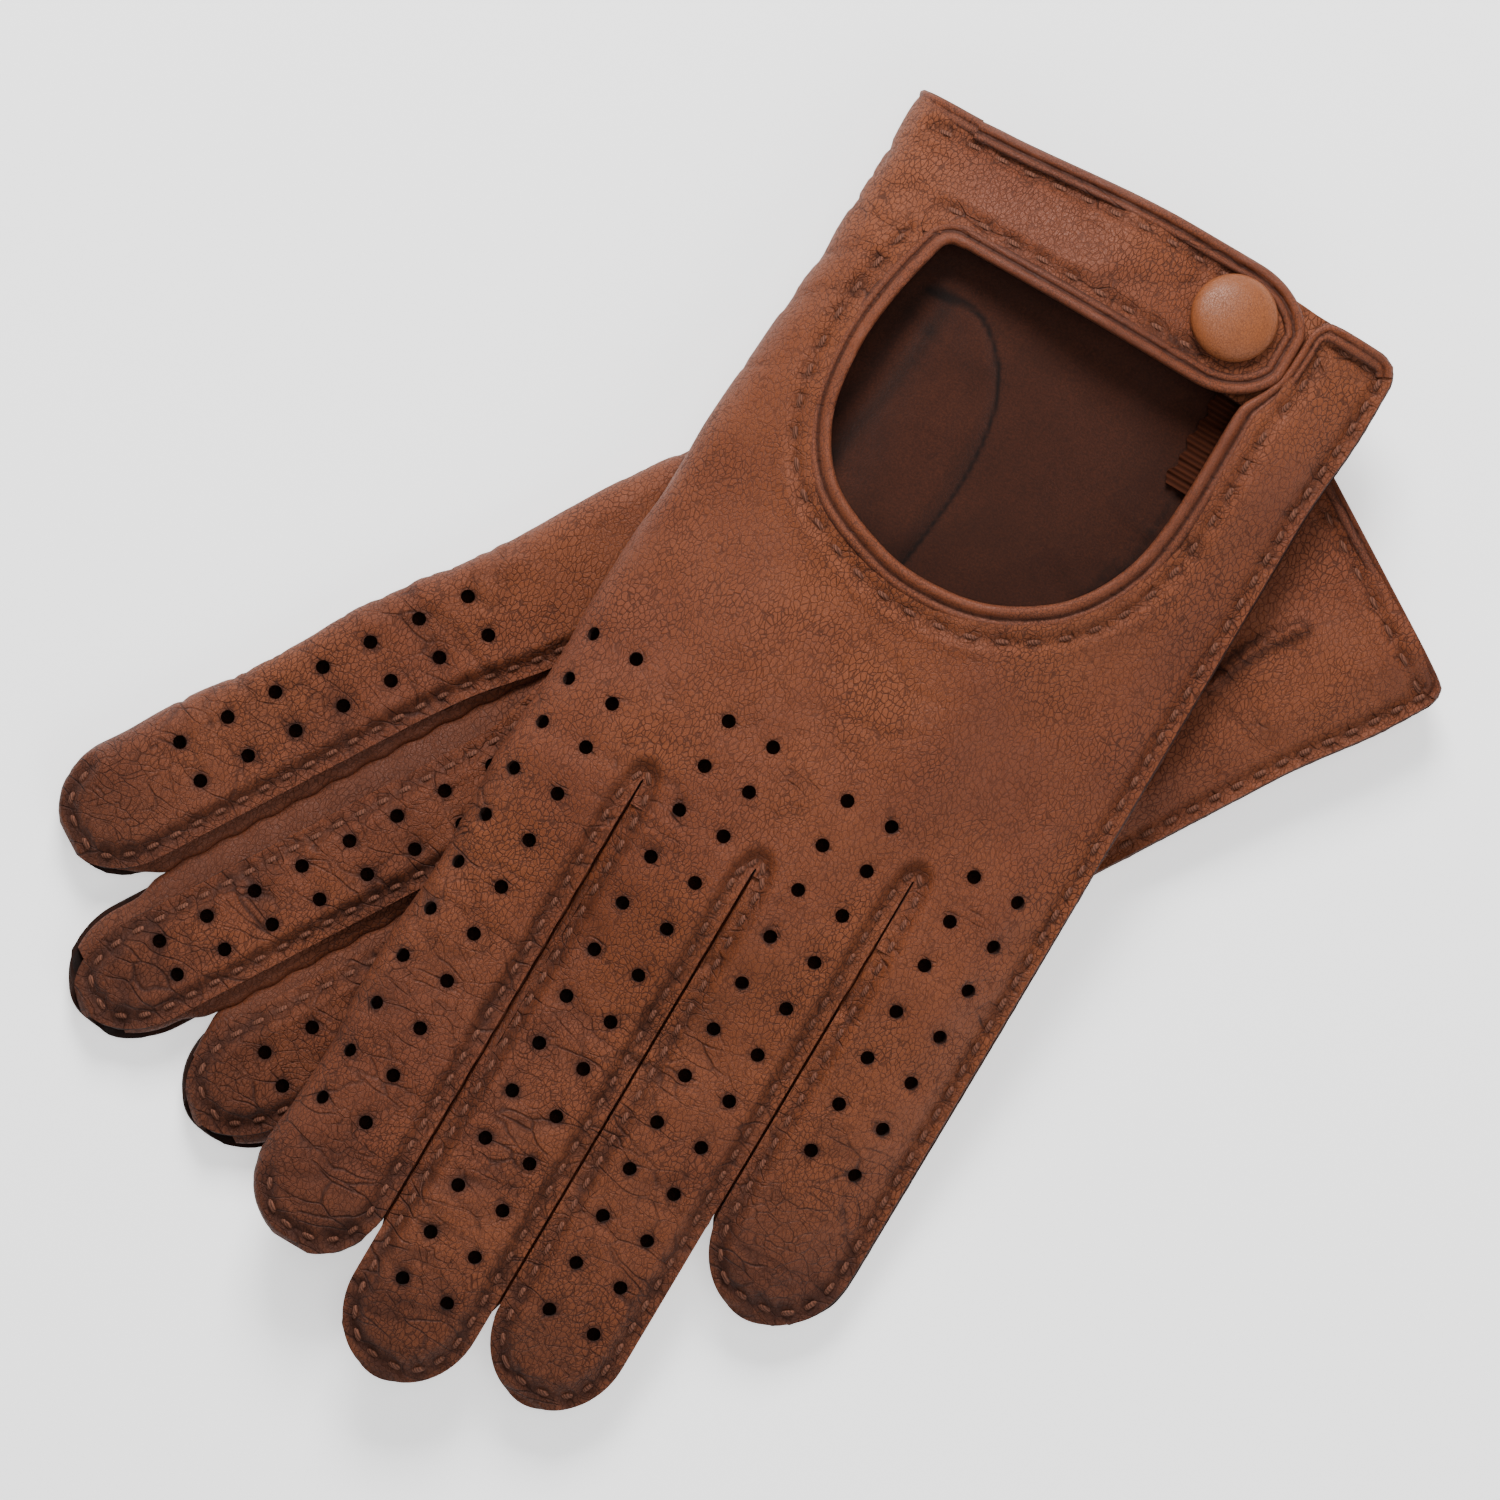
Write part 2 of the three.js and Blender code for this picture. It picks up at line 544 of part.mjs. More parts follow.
/** One glove as laid: its pieces carried from flat to their place, in a group. */
function glove(side) {
  const group = new THREE.Group();
  for (const [name, flat, finish] of glovePieces(side)) {
    const mesh = new THREE.Mesh(moved(flat, PLACES[side]), new THREE.MeshStandardMaterial(FINISHES[finish]));
    mesh.name = `${side}_${name}`;
    group.add(mesh);
  }
  return group;
}

const lower = glove('right');
lower.rotation.z = -LAY_ANGLE;
lower.position.set(LAY_SHIFT.x, LAY_SHIFT.y, 0);

const pair = new THREE.Group();
pair.add(lower, glove('left'));
const box = new THREE.Box3().setFromObject(pair, true);
const middle = box.getCenter(new THREE.Vector3());
pair.position.set(-middle.x, -middle.y, -box.min.z);

export default pair;
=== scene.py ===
"""Looks of a pair of leather driving gloves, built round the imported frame."""

import logging
import math
from dataclasses import dataclass
from enum import Enum
from typing import Callable, Sequence

import bpy
import numpy as np
from mathutils import Matrix, Vector, geometry


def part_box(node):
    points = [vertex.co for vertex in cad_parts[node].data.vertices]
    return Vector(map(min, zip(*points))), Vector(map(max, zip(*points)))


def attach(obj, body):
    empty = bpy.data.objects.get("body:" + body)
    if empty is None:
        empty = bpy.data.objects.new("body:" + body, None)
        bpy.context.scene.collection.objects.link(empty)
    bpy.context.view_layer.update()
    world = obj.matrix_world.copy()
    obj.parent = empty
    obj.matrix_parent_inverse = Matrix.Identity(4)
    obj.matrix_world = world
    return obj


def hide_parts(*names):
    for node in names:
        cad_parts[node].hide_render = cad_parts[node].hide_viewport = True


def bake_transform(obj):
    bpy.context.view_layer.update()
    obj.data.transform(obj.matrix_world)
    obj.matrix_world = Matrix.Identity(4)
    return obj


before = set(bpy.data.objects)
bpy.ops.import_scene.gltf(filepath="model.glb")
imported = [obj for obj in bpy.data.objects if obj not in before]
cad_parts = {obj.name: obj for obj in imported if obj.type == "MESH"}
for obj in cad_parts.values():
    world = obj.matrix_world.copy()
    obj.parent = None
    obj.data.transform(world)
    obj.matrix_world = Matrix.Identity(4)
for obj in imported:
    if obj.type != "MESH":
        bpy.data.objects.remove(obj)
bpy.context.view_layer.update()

logging.basicConfig(level=logging.INFO, format="%(message)s")
log = logging.getLogger("gloves")

Array = np.ndarray
MM = 0.001
SHARP = math.radians(50.0)
PUNCH = 1.2
GUSSET_ROWS = 11


class Side(Enum):
    """Which glove of the pair."""

    LEFT = "left"
    RIGHT = "right"


class Face(Enum):
    """Which face of a glove: its back or its palm."""

    BACK = 1
    PALM = -1


def smooth(t: Array) -> Array:
    """A soft step from 0 to 1."""
    c = np.clip(t, 0.0, 1.0)
    return c * c * (3.0 - 2.0 * c)


def ring(cx: float, cy: float, radius: float, count: int = 14) -> Array:
    """Points round a circle.

    Args:
        cx, cy: centre.
        radius: radius.
        count: number of points.

    Returns:
        An array of count points.
    """
    a = np.linspace(0.0, 2.0 * math.pi, count, endpoint=False)
    return np.column_stack([cx + radius * np.cos(a), cy + radius * np.sin(a)])


def resample(points: Array, step: float, closed: bool = False) -> Array:
    """Points evenly spaced along a polyline.

    Args:
        points: the polyline's corners.
        step: wanted spacing.
        closed: whether the last point joins the first.

    Returns:
        The new points, with the last corner kept on an open line.
    """
    p = np.vstack([points, points[:1]]) if closed else np.asarray(points, float)
    lengths = np.linalg.norm(np.diff(p, axis=0), axis=1)
    s = np.concatenate([[0.0], np.cumsum(lengths)])
    count = max(2, int(round(s[-1] / step)))
    t = np.linspace(0.0, s[-1], count + 1)
    q = np.column_stack([np.interp(t, s, p[:, k]) for k in range(p.shape[1])])
    return q[:-1] if closed else q


def spline(points: Sequence[Sequence[float]], per_span: int = 10) -> Array:
    """A smooth open curve through plan points.

    Args:
        points: the points it passes through.
        per_span: number of steps between two of them.

    Returns:
        Points along a Catmull-Rom curve.
    """
    p = np.asarray(points, float)
    p = np.vstack([2 * p[0] - p[1], p, 2 * p[-1] - p[-2]])
    out = []
    for i in range(1, len(p) - 2):
        a, b, c, d = p[i - 1:i + 3]
        for t in np.linspace(0.0, 1.0, per_span, endpoint=False):
            out.append(0.5 * (2 * b + (c - a) * t + (2 * a - 5 * b + 4 * c - d) * t ** 2
                              + (3 * b - a - 3 * c + d) * t ** 3))
    out.append(p[-2])
    return np.array(out)


def inside(points: Array, loop: Array) -> Array:
    """Which points lie inside a closed loop, by the even-odd rule."""
    x, y = points[:, 0][:, None], points[:, 1][:, None]
    x0, y0 = loop[:, 0], loop[:, 1]
    x1, y1 = np.roll(x0, -1), np.roll(y0, -1)
    crosses = (y0 > y) != (y1 > y)
    rise = np.where(y1 == y0, 1e-12, y1 - y0)
    left = x < (x1 - x0) * (y - y0) / rise + x0
    return np.count_nonzero(crosses & left, axis=1) % 2 == 1


def nearest(points: Array, targets: Array) -> Array:
    """Distance of each point to the nearest of some targets."""
    out = np.empty(len(points))
    for i in range(0, len(points), 2000):
        d = points[i:i + 2000, None, :] - targets[None, :, :]
        out[i:i + 2000] = np.sqrt((d ** 2).sum(axis=2).min(axis=1))
    return out


def triangulate(outline: Array, holes: Sequence[Array], spacing: float,
                punched: Sequence[Sequence[float]] = ()) -> tuple[Array, Array]:
    """Fills a plan outline with an even mesh of triangles.

    Args:
        outline: the outer loop, already at the wanted spacing.
        holes: loops left open.
        spacing: distance between inner points.
        punched: small round holes, each (x, y, radius), left open too.

    Returns:
        (points, triangles).
    """
    loops = [outline, *holes]
    extra = []
    for x, y, radius in punched:
        loops.append(ring(x, y, radius))
        extra.append(ring(x, y, radius * 1.32))
        extra.append(ring(x, y, radius * 1.75))
    edge_points = np.vstack(loops)
    low, high = outline.min(axis=0), outline.max(axis=0)
    xs = np.arange(low[0], high[0], spacing)
    ys = np.arange(low[1], high[1], spacing * 0.866)
    grid = np.array([(x + (spacing / 2 if j % 2 else 0.0), y) for j, y in enumerate(ys) for x in xs])
    grid = grid[inside(grid, outline)]
    for loop in holes:
        grid = grid[~inside(grid, loop)]
    grid = grid[nearest(grid, edge_points) > spacing * 0.62]
    if extra:
        rings = np.vstack(extra)
        rings = rings[inside(rings, outline)]
        rings = rings[nearest(rings, np.vstack([outline, *holes])) > spacing * 0.4]
        grid = grid[nearest(grid, rings) > spacing * 0.5]
        grid = np.vstack([rings, grid])
        for x, y, radius in punched:
            grid = grid[np.hypot(grid[:, 0] - x, grid[:, 1] - y) > radius * 1.05]
    points = np.vstack([edge_points, grid])
    edges, start = [], 0
    for loop in loops:
        n = len(loop)
        edges += [(start + i, start + (i + 1) % n) for i in range(n)]
        start += n
    verts, _, faces, *_ = geometry.delaunay_2d_cdt(
        [Vector(p) for p in points], edges, [], 0, 1e-6, False)
    verts = np.array([v[:] for v in verts])
    faces = np.array([f for f in faces if len(f) == 3])
    middle = verts[faces].mean(axis=1)
    keep = inside(middle, outline)
    for loop in holes:
        keep &= ~inside(middle, loop)
    for x, y, radius in punched:
        keep &= np.hypot(middle[:, 0] - x, middle[:, 1] - y) > radius * 0.97
    faces = faces[keep]
    used, faces = np.unique(faces, return_inverse=True)
    return verts[used], faces.reshape(-1, 3)


@dataclass(frozen=True)
class Pattern:
    """The cutting pattern's sizes, in millimetres, as the frame's parts have them."""

    leather: float = 1.0
    cuff_y: float = 116.8
    knuckle_y: float = -12.0
    hand_half: float = 5.0
    cuff_half: float = 4.8
    finger_half: float = 4.5
    index_x: float = -48.6
    wrist_taper: float = 4.8
    cuff_flare: float = 1.2
    finger_gap: float = 0.5
    tip_roll: float = 16.0
    tip_flat: float = 0.3
    seam_half: float = 1.17
    widths: tuple[float, ...] = (22.9, 23.4, 23.4, 25.2)
    lengths: tuple[float, ...] = (93.0, 104.5, 96.2, 64.8)
    slit_tops: tuple[float, ...] = (-7.4, -10.6, 0.9)
    names: tuple[str, ...] = ("index", "middle", "ring", "little")
    palm_insets: tuple[tuple[float, float], ...] = ((0.0, 1.4), (3.6, 1.6), (1.2, 2.6), (2.4, 0.0))
    palm_short: float = 0.7
    window: tuple[float, float, float, float] = (-31.2, 29.0, 45.0, 96.0)
    binding: float = 3.2
    strap_root: float = -32.8
    strap_tip: float = 32.4
    strap_low: float = 96.6
    strap_high: float = 119.2
    snap: tuple[float, float] = (20.5, 109.2)
    panel_left: float = 32.85
    lay_angle: float = math.radians(31.7)
    lay_shift: tuple[float, float] = (-18.5, 0.24)
    rest_gap: float = 0.4
    drape_flat: float = 42.0
    drape_fall: float = 60.0
    thumb_thick: float = 3.4
    thumb_gap: float = 0.35
    thumb_base: tuple[float, float] = (-17.0, 86.0)
    thumb_tip: tuple[float, float] = (5.0, -3.0)
    thumb_plateau: float = 15.0
    thumb_skirt: float = 28.0
    lift: float = 4.25
    lift_from: float = 20.0
    lift_to: float = 105.0


PATTERN = Pattern()
ORIGIN = np.array(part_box("left_trank")[0][:2]) / MM - np.array([PATTERN.index_x, PATTERN.knuckle_y + 0.175])


def from_lower(points: Array) -> Array:
    """Plan points of the lower glove's own frame in the upper glove's."""
    c, s = math.cos(PATTERN.lay_angle), math.sin(PATTERN.lay_angle)
    x, y = points[..., 0], points[..., 1]
    return np.stack([c * x + s * y + PATTERN.lay_shift[0],
                     -s * x + c * y + PATTERN.lay_shift[1]], axis=-1)


def to_lower(points: Array) -> Array:
    """Plan points of the upper glove's frame in the lower glove's own."""
    c, s = math.cos(PATTERN.lay_angle), math.sin(PATTERN.lay_angle)
    x, y = points[..., 0] - PATTERN.lay_shift[0], points[..., 1] - PATTERN.lay_shift[1]
    return np.stack([c * x - s * y, s * x + c * y], axis=-1)


def from_segment(points: Array, a: Array, b: Array) -> Array:
    """Distance of plan points from a straight segment."""
    ab = b - a
    t = np.clip(((points - a) @ ab) / (ab @ ab), 0.0, 1.0)
    return np.linalg.norm(points - (a + t[..., None] * ab), axis=-1)


def lift_at(y: Array) -> Array:
    """How far the lower glove is held off the table at a height y."""
    p = PATTERN
    return p.lift * smooth((y - p.lift_from) / (p.lift_to - p.lift_from))


def drape_at(x: Array, y: Array) -> Array:
    """Height of the upper glove's underside over the table."""
    p = PATTERN
    q = np.stack([x, y], axis=-1)
    low = to_lower(q)
    level = 1.0 - smooth((np.abs(low[..., 0]) - p.drape_flat) / p.drape_fall)
    base = (lift_at(low[..., 1]) + 2 * p.hand_half + p.rest_gap) * level
    upper = np.array([p.thumb_base, p.thumb_tip])
    lower = from_lower(upper)
    rise = sum(1.0 - smooth((from_segment(q, a, b) - p.thumb_plateau) / p.thumb_skirt)
               for a, b in (upper, lower))
    return p.rest_gap + base + (p.thumb_thick + p.thumb_gap) * rise


def half_at(y: Array) -> Array:
    """Half the glove's thickness at a height y, away from edges and tips."""
    p = PATTERN
    hand = p.hand_half + (p.cuff_half - p.hand_half) * smooth((y - 60.0) / 40.0)
    finger = p.finger_half + (p.hand_half - p.finger_half) * (1.0 - smooth((p.knuckle_y - y) / 25.0))
    return np.where(y >= p.knuckle_y, hand, finger)


def fold_x(y: Array) -> Array:
    """The folded (index) edge of the hand."""
    p = PATTERN
    return p.index_x + p.wrist_taper * smooth((y - 10.0) / (p.cuff_y - 10.0))


def finger_left(i: int) -> float:
    """Left edge of finger i at the knuckles."""
    p = PATTERN
    return p.index_x + sum(p.widths[:i]) + i * p.finger_gap


def sewn_x(y: Array) -> Array:
    """The sewn (little finger) edge of the hand."""
    return finger_left(3) + PATTERN.widths[3] + PATTERN.cuff_flare * smooth((y - 85.0) / 20.0)


def seam_fullness(d: Array) -> Array:
    """Fullness beside a finger seam."""
    return 1.0 - 0.25 * np.exp(-np.maximum(d, 0.0) / 3.0)


def side_fullness(d: Array) -> Array:
    """Fullness beside the flat-sewn side seam."""
    return np.sin(math.pi / 2 * np.clip((d - 2.0) / 9.0, 0.0, 1.0))


@dataclass
class Form:
    """One glove's shape: where each point of its leather goes.

    Attributes:
        side: which glove it is.
    """

    side: Side

    def __post_init__(self) -> None:
        """Sets how this glove's fingers lie."""
        lower = self.side is Side.RIGHT
        self.splay = (-1.2, 0.3, 2.0, 2.0) if lower else (0.0, 0.0, 0.0, 0.0)
        self.slack = 3.6 if lower else 0.0
        self.leather = "leather_right" if lower else "leather"
        self.seed = 17.0 if lower else 3.0

    def tip_y(self, i: int) -> float:
        """The end of finger i."""
        return PATTERN.knuckle_y - PATTERN.lengths[i] + self.slack

    def narrow(self, i: int, y: Array) -> Array:
        """How much of finger i's width is left at a height y."""
        reach = PATTERN.widths[i] * 0.55
        t = np.clip((self.tip_y(i) + reach - y) / reach, 0.0, 1.0)
        return np.sqrt(1.0 - t * t * (1.0 - PATTERN.tip_flat ** 2))

    def centre(self, i: int, y: Array) -> Array:
        """The middle line of finger i."""
        drift = self.splay[i] * smooth((PATTERN.knuckle_y - y) / 30.0)
        return finger_left(i) + PATTERN.widths[i] / 2 + drift

    def edges(self, i: int, y: Array) -> tuple[Array, Array]:
        """Left and right edge of finger i."""
        reach = PATTERN.widths[i] / 2 * self.narrow(i, y)
        return self.centre(i, y) - reach, self.centre(i, y) + reach

    def palm_edges(self, i: int, y: Array) -> tuple[Array, Array]:
        """Left and right edge of finger i's palm panel, narrower than the back."""
        left, right = self.edges(i, y)
        share = smooth((PATTERN.knuckle_y - 1.0 - y) / 18.0) * self.narrow(i, y)
        return left + PATTERN.palm_insets[i][0] * share, right - PATTERN.palm_insets[i][1] * share

    def panel_edges(self, i: int, y: Array, face: Face) -> tuple[Array, Array]:
        """Left and right edge of one panel of finger i."""
        return self.edges(i, y) if face is Face.BACK else self.palm_edges(i, y)

    def finger_half(self, i: int, y: Array) -> Array:
        """Half thickness of finger i, closing at its tip."""
        p = PATTERN
        t = np.clip((self.tip_y(i) + p.tip_roll - y) / p.tip_roll, 0.0, 1.0)
        return p.seam_half + (half_at(y) - p.seam_half) * np.sqrt(np.maximum(1.0 - t * t, 0.0))

    def finger_height(self, i: int, x: Array, y: Array) -> Array:
        """Height of finger i's skin over the middle of the glove."""
        p = PATTERN
        left, right = self.edges(i, y)
        full_left = np.ones_like(x) if i == 0 else seam_fullness(x - left)
        full_right = side_fullness(right - x) if i == 3 else seam_fullness(right - x)
        half = self.finger_half(i, y)
        return p.seam_half + (half - p.seam_half) * np.minimum(full_left, full_right)

    def hand_height(self, x: Array, y: Array) -> Array:
        """Height of the hand's skin over the middle of the glove."""
        p = PATTERN
        full = side_fullness(sewn_x(y) - x)
        for i, top in enumerate(p.slit_tops):
            away = np.maximum(np.abs(x - finger_left(i + 1) + p.finger_gap / 2) - p.finger_gap / 2, 0.0)
            fade = 1.0 - smooth((y - top) / 14.0)
            full = np.minimum(full, 1.0 - 0.25 * np.exp(-away / 3.0) * fade)
        return p.seam_half + (half_at(y) - p.seam_half) * full

    def lay(self, flat: Array) -> Array:
        """Carries flat points to their place on the table, in metres."""
        x, y, z = flat[..., 0], flat[..., 1], flat[..., 2]
        if self.side is Side.RIGHT:
            y = y - 3.2 * smooth((y - 98.0) / 18.0) * (1.0 - smooth((x + 44.0) / 18.0))
            y = y - 0.75 * np.maximum(y - PATTERN.cuff_y + 0.4, 0.0)
        if self.side is Side.LEFT:
            place = np.stack([x, y], axis=-1)
            height = drape_at(x, y) + half_at(y) + z
        else:
            place = from_lower(np.stack([x, y], axis=-1))
            height = lift_at(y) + half_at(y) - z
        height = np.maximum(height, 0.05)
        return np.concatenate([place + ORIGIN, height[..., None]], axis=-1) * MM


@dataclass
class Mesh:
    """Points and faces of one piece, in metres, with a mask of painted shade."""

    points: Array
    faces: list
    dark: Array | None = None


def make_object(name: str, mesh: Mesh, flip: bool) -> bpy.types.Object:
    """Makes a Blender object from points and faces.

    Args:
        name: the piece's name.
        mesh: its points and faces.
        flip: whether the faces' order is turned.

    Returns:
        The new object, at the origin.
    """
    faces = [tuple(f)[::-1] if flip else tuple(f) for f in mesh.faces]
    data = bpy.data.meshes.new(name)
    data.from_pydata([tuple(p) for p in mesh.points], [], faces)
    data.validate()
    # The mask of painted shade, read by the finishes.
    layer = data.attributes.new("shade", "FLOAT", "POINT")
    values = np.zeros(len(data.vertices)) if mesh.dark is None else mesh.dark
    layer.data.foreach_set("value", np.asarray(values, np.float32))
    data.update()
    obj = bpy.data.objects.new(name, data)
    bpy.context.scene.collection.objects.link(obj)
    return obj


def only(obj: bpy.types.Object) -> None:
    """Selects one object and makes it active."""
    bpy.ops.object.select_all(action="DESELECT")
    obj.select_set(True)
    bpy.context.view_layer.objects.active = obj


def smooth_shaded(obj: bpy.types.Object) -> None:
    """Shades an object smoothly, with its sharp edges kept."""
    only(obj)
    bpy.ops.object.shade_smooth_by_angle(angle=SHARP)


def give_wall(obj: bpy.types.Object, thick: float, materials: Sequence[bpy.types.Material]) -> None:
    """Turns a sheet into leather with a grain side, a flesh side and cut edges.

    Args:
        obj: the sheet, its faces towards the grain side.
        thick: thickness in metres.
        materials: grain side, flesh side and edge.
    """
    for material in materials:
        obj.data.materials.append(material)
    only(obj)
    wall = obj.modifiers.new("wall", "SOLIDIFY")
    wall.thickness = thick
    wall.offset = -1.0
    wall.use_even_offset = False
    wall.material_offset = 1
    wall.material_offset_rim = 2
    bpy.ops.object.modifier_apply(modifier=wall.name)
    smooth_shaded(obj)


# ---------------------------------------------------------------- finishes


class Wire:
    """A node socket that takes part in sums and products."""

    def __init__(self, nodes: "Nodes", socket: bpy.types.NodeSocket) -> None:
        """Wraps a socket of a node tree."""
        self.nodes = nodes
        self.socket = socket

    def math(self, operation: str, *others: "Wire | float", swap: bool = False) -> "Wire":
        """A Math node on this socket and others."""
        values = [*others, self] if swap else [self, *others]
        node = self.nodes.add("ShaderNodeMath", {"operation": operation}, dict(enumerate(values)))
        return Wire(self.nodes, node.outputs[0])

    def __add__(self, other: "Wire | float") -> "Wire":
        """Sum."""
        return self.math("ADD", other)

    __radd__ = __add__

    def __mul__(self, other: "Wire | float") -> "Wire":
        """Product."""
        return self.math("MULTIPLY", other)

    __rmul__ = __mul__

    def __sub__(self, other: "Wire | float") -> "Wire":
        """Difference."""
        return self.math("SUBTRACT", other)

    def __rsub__(self, other: "Wire | float") -> "Wire":
        """Difference from a number."""
        return self.math("SUBTRACT", other, swap=True)

    def clamped(self, low: float, high: float) -> "Wire":
        """This value as a soft step from 0 at low to 1 at high."""
        node = self.nodes.add("ShaderNodeMapRange", {"interpolation_type": "SMOOTHSTEP", "clamp": True},
                              {"Value": self, "From Min": low, "From Max": high})
        return Wire(self.nodes, node.outputs["Result"])


class Nodes:
    """The nodes of one material."""

    def __init__(self, name: str) -> None:
        """Starts a material with a surface shader."""
        self.material = bpy.data.materials.new(name)
        self.material.use_nodes = True
        self.tree = self.material.node_tree
        self.tree.nodes.clear()
        self.shader = self.add("ShaderNodeBsdfPrincipled", {}, {})
        output = self.add("ShaderNodeOutputMaterial", {}, {})
        self.tree.links.new(self.shader.outputs[0], output.inputs["Surface"])

    def add(self, kind: str, settings: dict, values: dict) -> bpy.types.Node:
        """Adds a node.

        Args:
            kind: the node's type.
            settings: its properties, set first.
            values: numbers, colours or wires for its sockets, by name or number.

        Returns:
            The node.
        """
        node = self.tree.nodes.new(kind)
        for key, value in settings.items():
            setattr(node, key, value)
        for key, value in values.items():
            self.feed(node, key, value)
        return node

    def feed(self, node: bpy.types.Node, key: "str | int", value: object) -> None:
        """Sets or links one socket of a node."""
        if isinstance(value, Wire):
            self.tree.links.new(value.socket, node.inputs[key])
        elif value is not None:
            node.inputs[key].default_value = value

    def wire(self, node: bpy.types.Node, output: "str | int" = 0) -> Wire:
        """One output of a node."""
        return Wire(self, node.outputs[output])

    def place(self) -> Wire:
        """The point on the object."""
        return self.wire(self.add("ShaderNodeTexCoord", {}, {}), "Object")

    def stretched(self, place: Wire, scale: tuple[float, float, float], turn: float = 0.0) -> Wire:
        """The point turned about Z, then scaled along each axis."""
        return self.wire(self.add("ShaderNodeMapping", {"vector_type": "POINT"},
                                  {"Vector": place, "Scale": scale, "Rotation": (0.0, 0.0, turn)}))

    def noise(self, place: Wire, scale: float, detail: float = 3.0, rough: float = 0.55) -> Wire:
        """Cloudy noise, from 0 to 1."""
        return self.wire(self.add("ShaderNodeTexNoise", {}, {"Vector": place, "Scale": scale,
                                                             "Detail": detail, "Roughness": rough}))

    def cells(self, place: Wire, scale: float, feature: str = "DISTANCE_TO_EDGE") -> Wire:
        """Distance to the edge of leather-like cells."""
        node = self.add("ShaderNodeTexVoronoi", {"feature": feature},
                        {"Vector": place, "Scale": scale, "Randomness": 1.0})
        return self.wire(node, "Distance")

    def nudged(self, place: Wire, scale: float, amount: float) -> Wire:
        """The point moved a little by noise."""
        shift = self.add("ShaderNodeTexNoise", {}, {"Vector": place, "Scale": scale, "Detail": 2.0})
        spread = self.add("ShaderNodeVectorMath", {"operation": "MULTIPLY_ADD"},
                          {0: self.wire(shift, "Color"), 1: (amount,) * 3, 2: (-amount / 2,) * 3})
        total = self.add("ShaderNodeVectorMath", {"operation": "ADD"},
                         {0: place, 1: self.wire(spread)})
        return self.wire(total)

    def mix(self, factor: "Wire | float", a: object, b: object) -> Wire:
        """A blend of two colours."""
        node = self.add("ShaderNodeMix", {"data_type": "RGBA"}, {})
        self.feed(node, 0, factor)
        self.feed(node, 6, a)
        self.feed(node, 7, b)
        return self.wire(node, 2)

    def mask(self, name: str) -> Wire:
        """A value stored on the mesh."""
        node = self.add("ShaderNodeAttribute", {"attribute_name": name}, {})
        return self.wire(node, "Fac")

    def bump(self, height: Wire, distance: float, strength: float = 1.0) -> None:
        """Presses a height into the surface."""
        node = self.add("ShaderNodeBump", {}, {"Height": height, "Distance": distance,
                                               "Strength": strength})
        self.tree.links.new(node.outputs["Normal"], self.shader.inputs["Normal"])

    def surface(self, **values: object) -> None:
        """Sets the surface shader's sockets, by their names with underscores for spaces."""
        for key, value in values.items():
            self.feed(self.shader, key.replace("_", " "), value)


def tone(red: int, green: int, blue: int) -> tuple[float, float, float, float]:
    """A display colour from 0 to 255 as a linear colour."""
    return tuple((c / 255 / 12.92) if c / 255 <= 0.04045 else ((c / 255 + 0.055) / 1.055) ** 2.4
                 for c in (red, green, blue)) + (1.0,)


@dataclass(frozen=True)
class LeatherFinish:
    """Grained glove leather.

    Attributes:
        name: the material's name.
        light, middle, deep: colours of the cells, the body and the creases; deep is also the colour of the
            painted shade.
        grain: cells a metre.
        depth: height of the grain in metres.
        rough: mean roughness.
        turn: direction in which the grain is stretched, in radians.
    """

    name: str
    light: tuple
    middle: tuple
    deep: tuple
    grain: float = 1280.0
    depth: float = 0.00011
    rough: float = 0.5
    turn: float = 0.0

    def make(self) -> bpy.types.Material:
        """Builds the material."""
        n = Nodes(self.name)
        place = n.place()
        bent = n.nudged(n.nudged(place, 90.0, 0.003), 420.0, 0.0009)
        flat = n.stretched(bent, (1.0, 0.62, 1.0), self.turn)
        cell = n.cells(flat, self.grain)
        fine = n.cells(n.nudged(place, 900.0, 0.0005), self.grain * 2.1)
        worn = n.noise(place, 60.0, 5.0, 0.6).clamped(0.36, 0.64)
        islands = cell.clamped(0.0, 0.13)
        specks = fine.clamped(0.0, 0.16)
        cloud = n.noise(place, 26.0, 4.0).clamped(0.3, 0.7)
        pores = n.noise(place, 2600.0, 2.0).clamped(0.3, 0.7)
        shade = n.mask("shade")
        folds = n.cells(n.stretched(n.nudged(place, 75.0, 0.007), (0.55, 1.7, 1.0), self.turn), 150.0)
        wavy = n.cells(n.stretched(n.nudged(place, 140.0, 0.005), (0.9, 1.5, 1.0), self.turn), 330.0)
        patchy = n.noise(place, 85.0, 2.0).clamped(0.42, 0.6)
        # Crease lines are drawn stronger where the painted shade mask is high: partly the leather's own
        # creasing, partly painted shade in the creases.
        crease_wear_and_shade = (0.16 + 1.7 * shade).clamped(0.1, 0.9)
        lines = (1.0 - folds.clamped(0.0, 0.05)) * patchy * crease_wear_and_shade
        lines = lines + (1.0 - wavy.clamped(0.0, 0.06)) * (1.0 - patchy) * crease_wear_and_shade * 0.7
        body = n.mix(cloud, self.middle, self.light)
        body = n.mix(lines * 0.75, body, self.deep)
        body = n.mix((1.0 - islands) * (0.4 + 0.34 * worn), body, self.deep)
        body = n.mix((1.0 - specks) * (0.34 - 0.14 * worn), body, self.deep)
        body = n.mix((1.0 - pores) * 0.16, body, self.deep)
        # Painted shade: the mesh's shade mask darkens the colour towards deep in seams, holes, creases and
        # slits.
        body = n.mix(shade.clamped(0.0, 1.0) * 0.9, body, self.deep)
        gloss = self.rough + 0.14 * (1.0 - islands) + 0.1 * worn + 0.2 * shade
        n.surface(Base_Color=body, Roughness=gloss, IOR=1.45, Specular_IOR_Level=0.32)
        n.bump(islands * (0.5 + 0.4 * worn) + specks * 0.35 + pores * 0.12 - 2.4 * lines, self.depth, 0.95)
        return n.material


